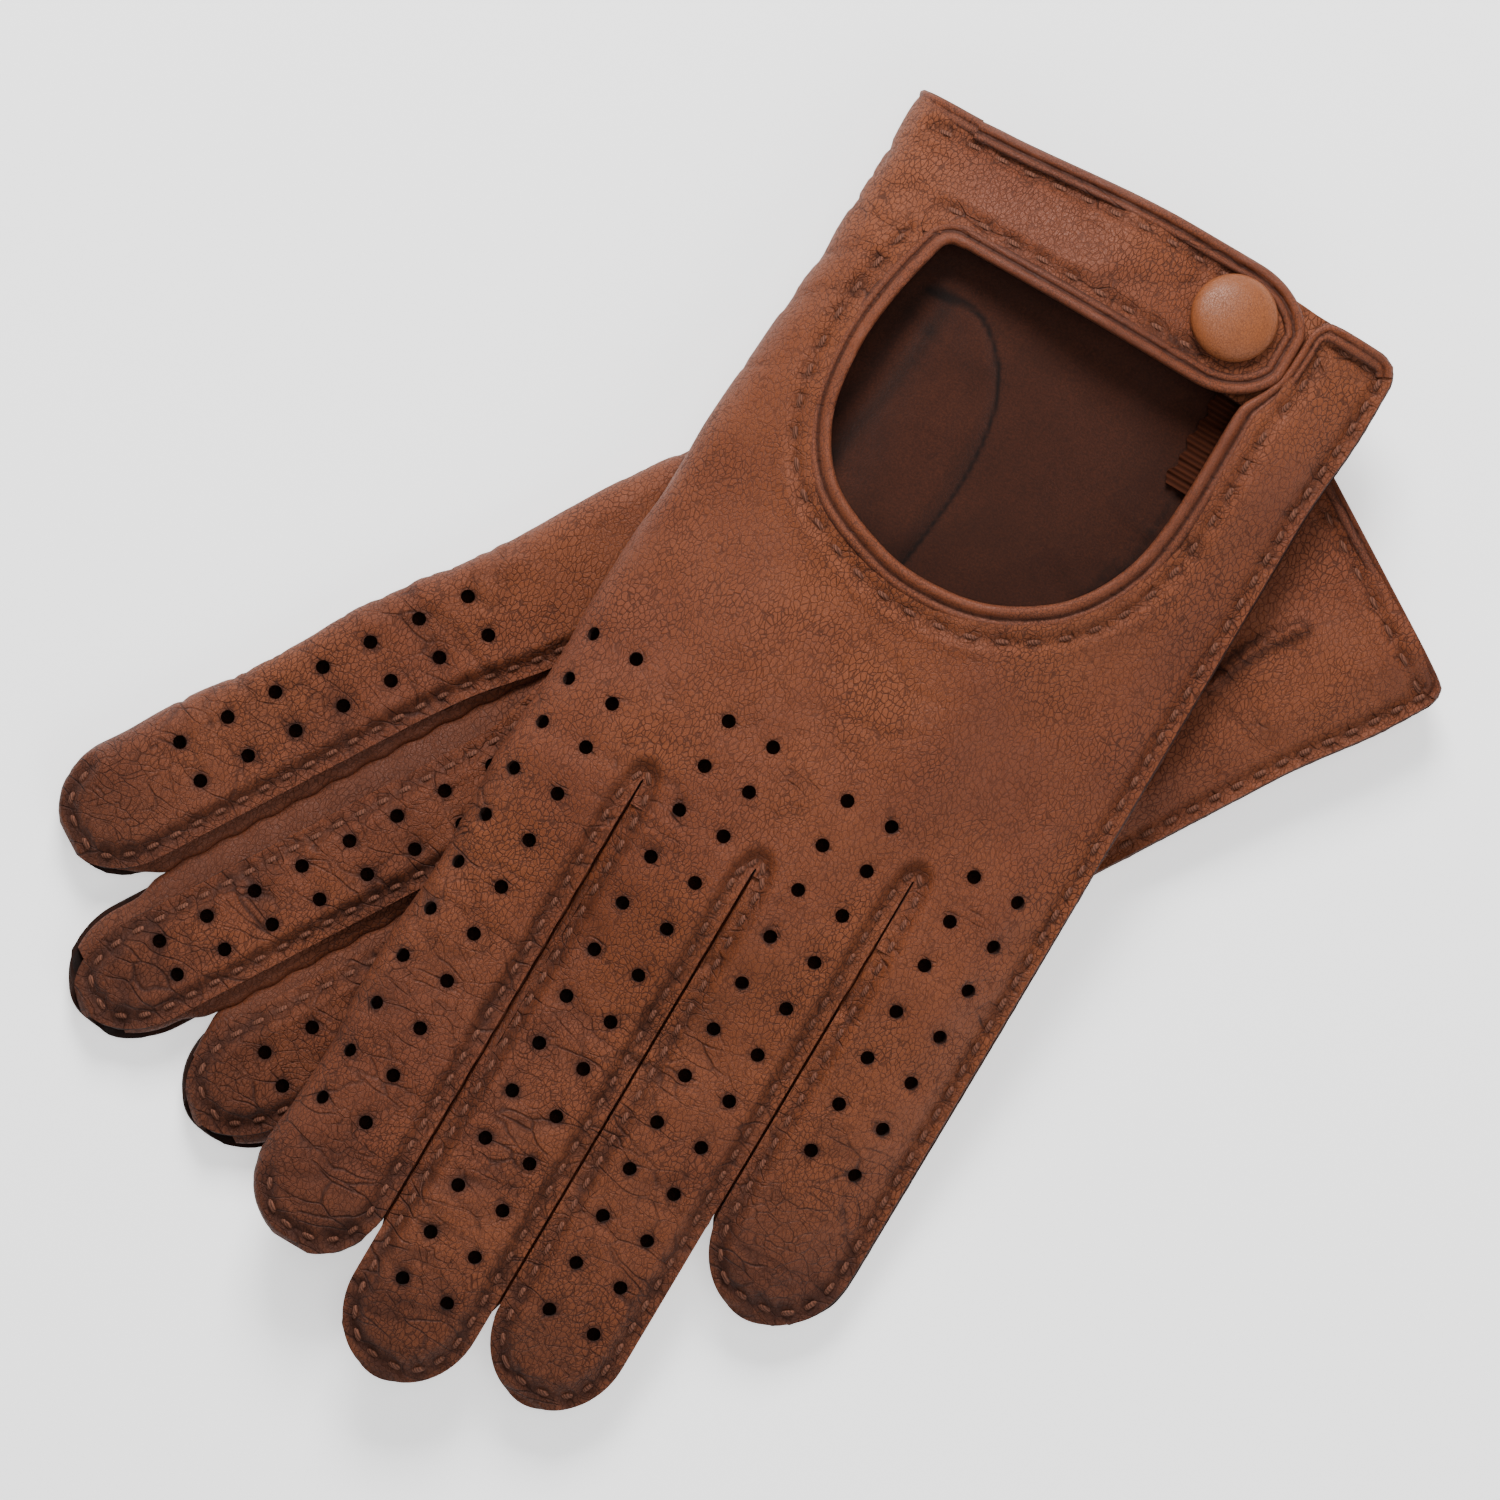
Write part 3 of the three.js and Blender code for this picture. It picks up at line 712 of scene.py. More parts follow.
@dataclass(frozen=True)
class SuedeFinish:
    """The napped flesh side of the leather."""

    name: str
    light: tuple
    deep: tuple

    def make(self) -> bpy.types.Material:
        """Builds the material."""
        n = Nodes(self.name)
        place = n.place()
        nap = n.noise(n.nudged(place, 500.0, 0.0008), 2600.0, 4.0, 0.7)
        brushed = n.noise(n.stretched(place, (1.0, 0.35, 1.0), 0.4), 420.0, 3.0)
        cloud = n.noise(place, 55.0, 3.0).clamped(0.3, 0.7)
        shade = n.mask("shade")
        body = n.mix(nap.clamped(0.35, 0.7) * 0.6 + brushed * 0.3, self.deep, self.light)
        body = n.mix((1.0 - cloud) * 0.45, body, self.deep)
        # Painted shade: the mesh's shade mask darkens the flesh side towards near black.
        body = n.mix(shade.clamped(0.0, 1.0) * 0.9, body, tone(14, 6, 4))
        n.surface(Base_Color=body, Roughness=0.95, Specular_IOR_Level=0.12)
        n.shader.inputs["Sheen Weight"].default_value = 0.08
        n.shader.inputs["Sheen Roughness"].default_value = 0.6
        n.bump(nap * 0.7 + brushed * 0.5, 0.00025, 0.9)
        return n.material


@dataclass(frozen=True)
class ThreadFinish:
    """Twisted sewing thread."""

    name: str
    light: tuple
    deep: tuple

    def make(self) -> bpy.types.Material:
        """Builds the material."""
        n = Nodes(self.name)
        place = n.place()
        twist = n.wire(n.add("ShaderNodeTexWave", {"wave_type": "BANDS", "bands_direction": "DIAGONAL"},
                             {"Vector": place, "Scale": 900.0, "Distortion": 2.0}), "Fac")
        fuzz = n.noise(place, 1800.0, 2.0)
        n.surface(Base_Color=n.mix(twist * 0.7 + fuzz * 0.3, self.deep, self.light), Roughness=0.8,
                  Specular_IOR_Level=0.25)
        n.bump(twist + fuzz * 0.5, 0.0001, 0.7)
        return n.material


@dataclass(frozen=True)
class MetalFinish:
    """Antique brass of the snap."""

    name: str
    colour: tuple

    def make(self) -> bpy.types.Material:
        """Builds the material."""
        n = Nodes(self.name)
        place = n.place()
        tarnish = n.noise(place, 700.0, 4.0).clamped(0.4, 0.75)
        brushed = n.noise(n.stretched(place, (1.0, 8.0, 1.0)), 900.0, 2.0)
        n.surface(Base_Color=n.mix(tarnish * 0.6, self.colour, tone(84, 62, 38)),
                  Roughness=0.28 + 0.3 * tarnish, Metallic=1.0)
        n.bump(brushed, 0.00003, 0.5)
        return n.material


@dataclass(frozen=True)
class WovenFinish:
    """Woven elastic tape."""

    name: str

    def make(self) -> bpy.types.Material:
        """Builds the material."""
        n = Nodes(self.name)
        place = n.place()
        ribs = n.wire(n.add("ShaderNodeTexWave", {"wave_type": "BANDS", "bands_direction": "Y"},
                            {"Vector": place, "Scale": 320.0, "Distortion": 0.6}), "Fac")
        n.surface(Base_Color=n.mix(ribs, tone(46, 21, 12), tone(64, 31, 18)), Roughness=0.95,
                  Specular_IOR_Level=0.08)
        n.bump(ribs, 0.0002, 0.8)
        return n.material


LIGHT, MIDDLE, DEEP = tone(124, 65, 34), tone(108, 53, 27), tone(44, 18, 8)

FINISHES = {
    "leather": LeatherFinish("grain_leather", LIGHT, MIDDLE, DEEP).make(),
    "leather_right": LeatherFinish("grain_leather_turned", LIGHT, MIDDLE, DEEP,
                                   turn=PATTERN.lay_angle).make(),
    "gusset": LeatherFinish("gusset_leather", tone(104, 53, 28), tone(90, 44, 23), DEEP).make(),
    "strap": LeatherFinish("strap_leather", LIGHT, MIDDLE, DEEP, turn=1.1).make(),
    "binding": LeatherFinish("binding_leather", tone(120, 61, 32), tone(98, 47, 24), tone(40, 17, 9),
                             grain=2300.0, depth=0.00005, rough=0.42).make(),
    "cap": LeatherFinish("cap_leather", tone(142, 82, 46), tone(130, 72, 39), tone(84, 42, 21),
                         grain=2500.0, depth=0.00002, rough=0.3).make(),
    "edge": LeatherFinish("cut_edge", tone(70, 35, 20), tone(56, 27, 15), tone(30, 14, 8),
                          rough=0.8).make(),
    "suede": SuedeFinish("flesh_side", tone(70, 34, 20), tone(40, 18, 10)).make(),
    "thread": ThreadFinish("sewing_thread", tone(116, 72, 54), tone(56, 29, 19)).make(),
    "metal": MetalFinish("snap_brass", tone(190, 150, 96)).make(),
    "elastic": WovenFinish("woven_elastic").make(),
}


def skin(form: Form) -> list[bpy.types.Material]:
    """A glove's leather: grain side, flesh side and cut edge."""
    return [FINISHES[form.leather], FINISHES["suede"], FINISHES["edge"]]


# ---------------------------------------------------------------- leather


def cloud(x: Array, y: Array, seed: float) -> Array:
    """Smooth noise from 0 to 1 on a unit lattice."""
    xi, yi = np.floor(x), np.floor(y)
    fx, fy = smooth(x - xi), smooth(y - yi)

    def corner(i: int, j: int) -> Array:
        """The lattice's value at one corner."""
        h = np.sin((xi + i) * 12.9898 + (yi + j) * 78.233 + seed * 37.719) * 43758.5453
        return h - np.floor(h)

    low = corner(0, 0) * (1 - fx) + corner(1, 0) * fx
    high = corner(0, 1) * (1 - fx) + corner(1, 1) * fx
    return low * (1 - fy) + high * fy


def creases(x: Array, y: Array, seed: float) -> Array:
    """Narrow wandering lines, 1 along them and 0 between."""
    bend = cloud(x * 0.7 + 5.0, y * 0.7, seed + 9.0) - 0.5
    value = cloud(x + bend * 1.6, y + bend * 1.6, seed)
    return np.exp(-(np.abs(value - 0.5) / 0.06) ** 2 * 0.5)


@dataclass
class Wrap:
    """Developed leather of a hand or finger, round the glove from palm to back.

    A point is (u, y): u is positive over the back and negative under the palm.

    Attributes:
        form: the glove's shape.
        finger: the finger's number, or None for the hand.
    """

    form: Form
    finger: int | None = None

    def sides(self, y: Array) -> tuple[Array, Array]:
        """Left and right edge in plan."""
        return (fold_x(y), sewn_x(y)) if self.finger is None else self.form.edges(self.finger, y)

    def roll(self, y: Array) -> tuple[Array, Array]:
        """Radius of the fold and the developed length of half of it."""
        if self.finger is None:
            r = half_at(y)
        elif self.finger == 0:
            r = self.form.finger_half(0, y)
        else:
            return np.zeros_like(y), np.ones_like(y)
        return r, r * math.pi / 2

    def height(self, x: Array, y: Array) -> Array:
        """Height of the skin over the middle of the glove."""
        if self.finger is None:
            return self.form.hand_height(x, y)
        return self.form.finger_height(self.finger, x, y)

    def develop(self, plan: Array, face: Face) -> Array:
        """Plan points (x, y) as developed points (u, y)."""
        x, y = plan[..., 0], plan[..., 1]
        left, _ = self.sides(y)
        r, q = self.roll(y)
        if self.finger in (None, 0):
            arc = r * np.arccos(np.clip(1.0 - (x - left) / np.maximum(r, 1e-6), -1.0, 1.0))
            v = np.where(x < left + r, arc, q + x - left - r)
        else:
            v = q + x - left
            v = np.where(v < -1.0, 1e3, v)
        return np.stack([face.value * v, y], axis=-1)

    def plan(self, points: Array) -> Array:
        """Plan x of developed points."""
        u, y = np.abs(points[..., 0]), points[..., 1]
        left, _ = self.sides(y)
        r, q = self.roll(y)
        return np.where(u < q, left + r - r * np.cos(u / np.maximum(r, 1e-6)), left + r + u - q)

    def reach(self, y: Array) -> Array:
        """Developed distance of the right edge."""
        left, right = self.sides(y)
        r, q = self.roll(y)
        return q + right - left - r

    def flat(self, points: Array, n: Array) -> Array:
        """Developed points raised by n, as flat points of the glove."""
        u, y = points[..., 0], points[..., 1]
        s, v = np.where(u < 0, -1.0, 1.0), np.abs(u)
        left, _ = self.sides(y)
        r, q = self.roll(y)
        angle = v / np.maximum(r, 1e-6)
        x = left + r + v - q
        rolled = (v < q) & (r > 0)
        z = self.height(x, y) + n
        return np.stack([np.where(rolled, left + r - (r + n) * np.cos(angle), x), y,
                         s * np.where(rolled, (r + n) * np.sin(angle), z)], axis=-1)

    def crease_u(self, points: Array) -> Array:
        """A coordinate that runs on from the hand into every finger."""
        u = points[..., 0]
        if self.finger in (None, 0):
            return u
        shift = finger_left(self.finger) - PATTERN.index_x + PATTERN.hand_half * (math.pi / 2 - 1) - 1.0
        return np.sign(u) * (np.abs(u) + shift)

    def freedom(self, points: Array) -> Array:
        """How free the skin is to wrinkle: none where two layers are sewn flat."""
        x, y = self.plan(points), points[..., 1]
        return np.clip((self.height(x, y) - PATTERN.seam_half) / 2.0, 0.0, 1.0)


@dataclass
class Row:
    """A row of stitches along a plan line.

    Attributes:
        line: the plan line.
        face: which face it is on.
        pitch: distance between stitches.
        length, thick: size of a stitch.
    """

    line: Array
    face: Face
    pitch: float = 4.3
    length: float = 2.6
    thick: float = 0.95

    def stitches(self) -> tuple[Array, Array]:
        """Middle and direction of each stitch."""
        points = resample(self.line, self.pitch)
        middle = (points[1:] + points[:-1]) / 2
        along = points[1:] - points[:-1]
        return middle, along / np.linalg.norm(along, axis=1)[:, None]


@dataclass
class Ridge:
    """A raised or sunken line in the leather.

    Attributes:
        line: its plan line.
        face: which face it is on.
        height: height away from the inside of the glove.
        width: half width.
        dark: painted shade beside it.
        edge: where the painted shade is, in half widths from the middle.
        ripple: how much its height changes along it.
    """

    line: Array
    face: Face
    height: float
    width: float = 1.0
    dark: float = 0.3
    ripple: float = 0.0
    edge: float = 1.0


@dataclass
class Deck:
    """Leather lying over the wrist's opening, such as the strap.

    Attributes:
        form: the glove's shape.
        sink: how far it lies under the skin, at plan points.
    """

    form: Form
    sink: Callable[[Array], Array] = lambda points: np.zeros(len(points))

    def develop(self, plan: Array, face: Face) -> Array:
        """Plan points as they are."""
        return np.asarray(plan, float)

    def flat(self, points: Array, n: Array) -> Array:
        """Plan points raised by n, as flat points of the glove."""
        z = half_at(points[:, 1]) + n - self.sink(points)
        return np.column_stack([points, z])

    def crease_u(self, points: Array) -> Array:
        """The hand's own coordinate, so that creases run on."""
        hand = Wrap(self.form)
        r, q = hand.roll(points[:, 1])
        return q + points[:, 0] - hand.sides(points[:, 1])[0] - r

    def freedom(self, points: Array) -> Array:
        """Free to wrinkle everywhere."""
        return np.ones(len(points))


class Relief:
    """The small shape of a glove's leather: holes, stitch rows, wrinkles, and the shade painted into them."""

    def __init__(self, wrap: "Wrap | Deck", holes: Sequence[Sequence[float]], rows: Sequence[Row],
                 ridges: Sequence["Ridge"] = ()) -> None:
        """Keeps the developed places of the holes, rows and ridges near a piece."""
        self.wrap = wrap
        self.ridges = [(ridge, wrap.develop(resample(ridge.line, 0.4), ridge.face)) for ridge in ridges]
        developed = [[*wrap.develop(np.array([x, y]), face)] for face, x, y in holes]
        self.holes = np.array(developed).reshape(-1, 2)
        lines, knots = [np.empty((0, 2))], [np.empty((0, 2))]
        for row in rows:
            lines.append(wrap.develop(resample(row.line, 0.5), row.face))
            knots.append(wrap.develop(row.stitches()[0], row.face))
        self.lines, self.knots = np.vstack(lines), np.vstack(knots)

    def at(self, points: Array) -> tuple[Array, Array]:
        """Height and painted shade at developed points."""
        w, y = self.wrap.crease_u(points), points[:, 1]
        seed = self.wrap.form.seed
        n = (cloud(w / 16, y / 19, seed) - 0.5) * 1.5 + (cloud(w / 6, y / 7, seed + 1) - 0.5) * 0.5
        lines = creases(w / 10, y / 6.5, seed + 2) * smooth(cloud(w / 26, y / 22, seed + 3) * 2.2 - 0.6)
        small = creases(w / 9.0, y / 2.6, seed + 4) * smooth(cloud(w / 12, y / 14, seed + 5) * 2.4 - 0.8)
        small *= smooth((28.0 - y) / 20.0) + 0.6 * smooth((y - 62.0) / 16.0)
        n -= 0.38 * lines + 0.2 * small
        free = self.wrap.freedom(points)
        n *= free
        # Painted shade in the wrinkles' creases.
        dark = 0.2 * lines + 0.26 * small
        if len(self.holes):
            d = nearest(points, self.holes)
            n -= 0.42 * np.exp(-(d / 2.2) ** 2)
            # Painted shade in and round the perforations.
            dark += 0.6 * np.exp(-(d / 1.65) ** 4)
        if len(self.lines):
            d = nearest(points, self.lines)
            n -= 0.5 * np.exp(-(d / 0.9) ** 2)
            n += 0.36 * np.exp(-((d - 2.1) / 1.0) ** 2)
            # Painted shade along the stitch rows' valleys.
            dark += 0.26 * np.exp(-(d / 0.8) ** 2)
            d = nearest(points, self.knots)
            n -= 0.4 * np.exp(-(d / 1.25) ** 2)
            # Painted shade in the needle holes at each stitch's ends.
            dark += 0.24 * np.exp(-((d - 1.3) / 0.5) ** 2)
        for ridge, line in self.ridges:
            d = nearest(points, line)
            ripple = 1.0 + ridge.ripple * np.sin(points[:, 1] * 2.1 + 3.0 * np.sin(points[:, 1] * 0.7))
            n += ridge.height * ripple * np.exp(-(d / ridge.width) ** 2)
            # Painted shade beside each ridge and slit.
            dark += ridge.dark * np.exp(-((d - ridge.edge * ridge.width) / (0.6 * ridge.width)) ** 2)
        return np.where(n < 0, n * (0.2 + 0.8 * free), n), np.clip(dark, 0.0, 1.0)


def loop_of(*lines: Array) -> Array:
    """One closed outline from lines in order, without doubled corners."""
    points = np.vstack(lines)
    keep = np.linalg.norm(points - np.roll(points, 1, axis=0), axis=1) > 0.12
    return points[keep]


def base_points(x0: float, x1: float) -> Array:
    """Even plan stations across a finger's base."""
    return np.linspace(x0, x1, int(round((x1 - x0) / 1.0)) + 1)


def window_path() -> Array:
    """The middle line of the window's binding, in plan."""
    h = PATTERN.binding / 2
    l, r, b = PATTERN.window[0] - h, PATTERN.window[1] + h, PATTERN.window[2] - h
    mid = (PATTERN.window[0] + PATTERN.window[1]) / 2
    return spline([(l + 3.0, 94.2), (l + 0.9, b + 41), (l, b + 30), (l + 2.1, b + 17),
                   (l + 9.4, b + 6.6), (mid - 9.5, b + 1.0), (mid + 1, b), (mid + 12, b + 2.2),
                   (r - 9.0, b + 9.2), (r - 2.6, b + 19.5), (r - 0.3, b + 32), (r, 97.0)])


def beside(line: Array, distance: float) -> Array:
    """A plan line moved sideways, to its right as it runs."""
    along = np.gradient(line, axis=0)
    along /= np.linalg.norm(along, axis=1)[:, None]
    return line + distance * np.column_stack([along[:, 1], -along[:, 0]])


@dataclass
class Layout:
    """Where one glove's holes and stitch rows are, in plan.

    Attributes:
        form: the glove's shape.
    """

    form: Form

    def finger_holes(self) -> list[tuple[Face, float, float]]:
        """The two rows of perforations along the back of each finger."""
        starts = (9.3, 8.2, 6.8, 6.6)
        ends = (-86.0, -103.0, -95.0, -56.0)
        out = []
        for i in range(4):
            y = starts[i]
            while y > ends[i] + self.form.slack:
                at = np.array(y)
                middle = float(self.form.centre(i, at))
                pair = (-8.0, 0.6) if i == 0 else (-4.3, 4.3)
                out += [(Face.BACK, middle + dx + 0.25 * math.sin(y * 1.3 + i), y) for dx in pair]
                y -= 8.5 if y > -6.0 else 9.15
        for i, (first, last, pair) in enumerate(((-22.2, -80.0, (-5.6, 1.8)), (-31.9, -96.0, (-2.6, 3.8)),
                                                 (-34.0, -90.0, (-3.2, 3.2)))):
            for y in np.arange(first, last, -9.1):
                middle = float(self.form.centre(i, np.array(y)))
                out += [(Face.PALM, middle + dx, float(y)) for dx in pair]
        return out

    def strap_rows(self) -> list[Row]:
        """The strap's two rows of stitches, running on into the hand."""
        x = np.arange(-39.5, 19.0, 1.0)
        low, high = strap_edges(x, 0.0)
        fall = 1.6 * smooth((-30.0 - x) / 10.0)
        top = Row(np.column_stack([x, high - 4.3 - fall * 0.4]), Face.BACK, 5.3, 2.9)
        keep = x > -24.0
        lower = np.vstack([[[-31.5, 100.8], [-28.0, 101.4]], np.column_stack([x[keep], low[keep] + 4.6])])
        return [top, Row(lower, Face.BACK, 5.3, 2.9)]

    def ridges(self) -> list[Ridge]:
        """Seams and tucks in the palm: round the thumb, behind it and at the wrist."""
        thumb = spline([(-6.8, 44.0), (-5.0, 60.0), (-5.5, 72.0), (-8.0, 80.0), (-13.0, 86.0),
                        (-18.0, 88.5), (-26.0, 88.0)])
        tuck = spline([(-28.5, 52.0), (-26.5, 62.0), (-24.8, 72.0), (-24.0, 86.0)])
        lap = spline([(26.5, 92.0), (27.2, 86.0), (26.2, 78.0), (25.6, 68.0), (24.0, 58.0)])
        ruche = spline([(28.5, 82.0), (27.2, 88.0), (26.6, 94.0), (27.2, 100.0)])
        pouch = spline([(-14.0, 52.0), (-15.0, 66.0), (-17.0, 78.0)])
        return [Ridge(thumb, Face.PALM, 0.5, 1.1, 1.0, edge=0.0),
                Ridge(thumb - [3.2, 0.0], Face.PALM, -1.0, 2.6, 0.0), Ridge(tuck, Face.PALM, 0.9, 2.6, 0.5),
                Ridge(pouch, Face.PALM, -2.0, 7.0, 0.0), Ridge(lap, Face.PALM, -0.6, 0.9, 0.4, 0.5),
                Ridge(ruche, Face.PALM, 1.7, 1.3, 0.5, 0.3), *self.slits()]

    def slits(self, finger: int | None = None) -> list[Ridge]:
        """Where the leather turns down between two fingers, beside one finger or all."""
        out = []
        for i, top in enumerate(PATTERN.slit_tops):
            if finger is not None and i not in (finger - 1, finger):
                continue
            for face in Face:
                sides = []
                for right, beside_slit in ((True, i), (False, i + 1)):
                    y = np.arange(top, self.form.tip_y(beside_slit) + 3.0, -1.0)
                    at = np.minimum(y, PATTERN.knuckle_y)
                    left_x, right_x = self.form.panel_edges(beside_slit, at, face)
                    sides.append(np.column_stack([right_x if right else left_x, y]))
                out.append(Ridge(np.vstack([sides[0][::-1], sides[1]]), face, -1.3, 2.6, 0.0))
        return out

    def seam(self, i: int, right: bool, tip: bool, face: Face = Face.BACK) -> Array:
        """A plan line inside one edge of finger i, from the knuckles to its tip.

        Args:
            i: the finger.
            right: whether it is the right edge.
            tip: whether the line carries on round the tip to the middle.
            face: which panel it is on.
        """
        end = self.form.tip_y(i) + (PATTERN.palm_short if face is Face.PALM and i else 0.0)
        y = np.arange(PATTERN.knuckle_y, end + 2.2, -1.0)
        shift = end - self.form.tip_y(i)
        at = np.maximum(y - shift * smooth((-60.0 - y) / 30.0), end - shift + 0.2)
        left_x, right_x = self.form.panel_edges(i, at, face)
        x = right_x - 2.2 if right else left_x + 2.2
        line = np.column_stack([x, y])
        middle = float(self.form.centre(i, np.array(end)))
        line = line[(line[:, 0] > middle) == right]
        if tip:
            line = np.vstack([line, [[middle, end + 2.3]]])
        return line

    def rows(self) -> list[Row]:
        """Every row of stitches in the hand and fingers' leather."""
        out = []
        for i, top in enumerate(PATTERN.slit_tops):
            x = finger_left(i + 1) - PATTERN.finger_gap / 2
            crotch = [[x - 2.2, top - 3.0], [x - 1.5, top + 1.0], [x, top + 2.2],
                      [x + 1.5, top + 1.0], [x + 2.2, top - 3.0]]
            for face in Face:
                a, b = self.seam(i, True, True, face), self.seam(i + 1, False, True, face)
                out.append(Row(np.vstack([a[::-1], crotch, b]), face))
        y = np.arange(PATTERN.cuff_y - 2.5, PATTERN.knuckle_y, -1.0)
        side = np.column_stack([sewn_x(y) - 1.9, y])
        finger = self.seam(3, True, True) + [0.3, 0.0]
        index = self.seam(0, False, True)
        index = index[index[:, 1] < self.form.tip_y(0) + 10.0]
        out += [Row(np.vstack([side, finger]), face) for face in Face]
        out += [Row(index, face) for face in Face]
        window = beside(window_path(), PATTERN.binding / 2 + 2.6)
        window = window[(window[:, 1] < 96.0) | (window[:, 0] > 0)]
        out.append(Row(window, Face.BACK, pitch=5.4, length=2.9))
        out.append(Row(np.array([[35.2, 98.6], [36.3, 104.0], [36.4, 112.2]]), Face.BACK, 4.6))
        out.append(Row(np.array([[37.0, 113.7], [46.4, 113.5]]), Face.BACK, 4.2))
        x = np.arange(-38.0, 49.0, 2.0)
        out.append(Row(np.column_stack([x, 0 * x + 112.6]), Face.PALM, 5.4, 2.9))
        return out


def strap_edges(x: Array, inset: float) -> tuple[Array, Array]:
    """Low and high edge of the strap at plan x, moved inwards."""
    p, reach = PATTERN, 11.0
    rise = 2.4 * smooth((x - p.strap_root) / 40.0)
    low, high = p.strap_low + inset, p.strap_high - 2.4 + rise - inset
    mid = (low + high) / 2 + 0.6 * smooth((x - 5.0) / 20.0)
    t = np.clip((x - (p.strap_tip - inset - reach)) / reach, 0.0, 1.0)
    narrow = np.sqrt(np.maximum(1.0 - 0.86 * t * t, 0.0))
    return mid + (low - mid) * narrow, mid + (high - mid) * narrow


def strap_outline(inset: float, start: float) -> tuple[Array, Array]:
    """The strap's low edge and, running back from its tip, its high edge."""
    tip = PATTERN.strap_tip - inset
    turn = np.sin(np.linspace(0, math.pi / 2, 14))
    x = np.concatenate([np.arange(start, tip - 11.0, 1.0), tip - 11.0 * (1.0 - turn)])
    low, high = strap_edges(x, inset)
    return np.column_stack([x, low]), np.column_stack([x, high])[::-1]


@dataclass
class HandShell:
    """The leather of the hand: back, fold and palm in one blank.

    Attributes:
        form: the glove's shape.
        layout: its holes and stitches.
        spacing: distance between mesh points, in millimetres.
    """

    form: Form
    layout: Layout
    spacing: float = 1.05

    def base_line(self, wrap: Wrap, face: Face) -> Array:
        """The knuckle line of one face with its slits, from the fold out."""
        out = []
        for i in range(4):
            x0 = finger_left(i)
            xs = base_points(x0, x0 + PATTERN.widths[i])
            plan = np.column_stack([xs, np.full_like(xs, PATTERN.knuckle_y)])
            out.append(wrap.develop(plan, face))
            if i < 3:
                x = x0 + PATTERN.widths[i] + PATTERN.finger_gap / 2
                top = PATTERN.slit_tops[i]
                ys = resample(np.array([[PATTERN.knuckle_y + 1.0], [top - 0.4]]), 1.2)[:, 0]
                up = np.column_stack([np.full_like(ys, x - 0.2), ys])
                down = np.column_stack([np.full_like(ys, x + 0.2), ys])[::-1]
                out.append(wrap.develop(np.vstack([up, [[x, top]], down]), face))
        return np.vstack(out)

    @staticmethod
    def corner(y: Array) -> Array:
        """How far the sewn edge is rounded off towards the cuff."""
        t = np.clip((y - PATTERN.cuff_y + 4.4) / 4.0, 0.0, 1.0)
        return 3.0 * (1.0 - np.sqrt(1.0 - t * t))

    def outline(self, wrap: Wrap) -> Array:
        """The blank's edge, in developed coordinates."""
        p, step = PATTERN, self.spacing
        back = self.base_line(wrap, Face.BACK)
        palm = self.base_line(wrap, Face.PALM)[::-1]
        top = p.cuff_y - 0.4
        ys = np.arange(p.knuckle_y + step, top, step)
        reach = wrap.reach(ys) - self.corner(ys)
        right = np.column_stack([reach, ys])
        left = np.column_stack([-reach, ys])[::-1]
        cut = beside(window_path(), p.binding / 2 - 0.3)
        cut = resample(np.vstack([[[p.strap_root, top]], [[p.strap_root, 96.6]], cut,
                                  [[33.2, 101.0]], [[p.panel_left + 0.8, top]]]), step)
        window = wrap.develop(cut[::-1], Face.BACK)
        end = float(wrap.reach(np.array(top))) - 3.0
        cuff_right = resample(np.array([[end, top], window[0]]), step)
        cuff_left = resample(np.array([window[-1], [-end, top]]), step)
        return loop_of(palm, back, right, cuff_right, window, cuff_left, left)

    def build(self) -> bpy.types.Object:
        """Makes the shell."""
        wrap = Wrap(self.form)
        outline = self.outline(wrap)
        holes = [h for h in self.layout.finger_holes() if h[2] > PATTERN.knuckle_y + 1.4]
        punched = [(*wrap.develop(np.array([x, y]), face), PUNCH) for face, x, y in holes]
        points, faces = triangulate(outline, [], self.spacing, punched)
        relief = Relief(wrap, holes, self.layout.rows() + self.layout.strap_rows(), self.layout.ridges())
        n, dark = relief.at(points)
        mesh = Mesh(self.form.lay(wrap.flat(points, n)), list(faces), dark)
        flip = self.form.side is Side.RIGHT
        obj = make_object(f"{self.form.side.value}_hand_leather", mesh, flip)
        give_wall(obj, PATTERN.leather * MM, skin(self.form))
        return obj


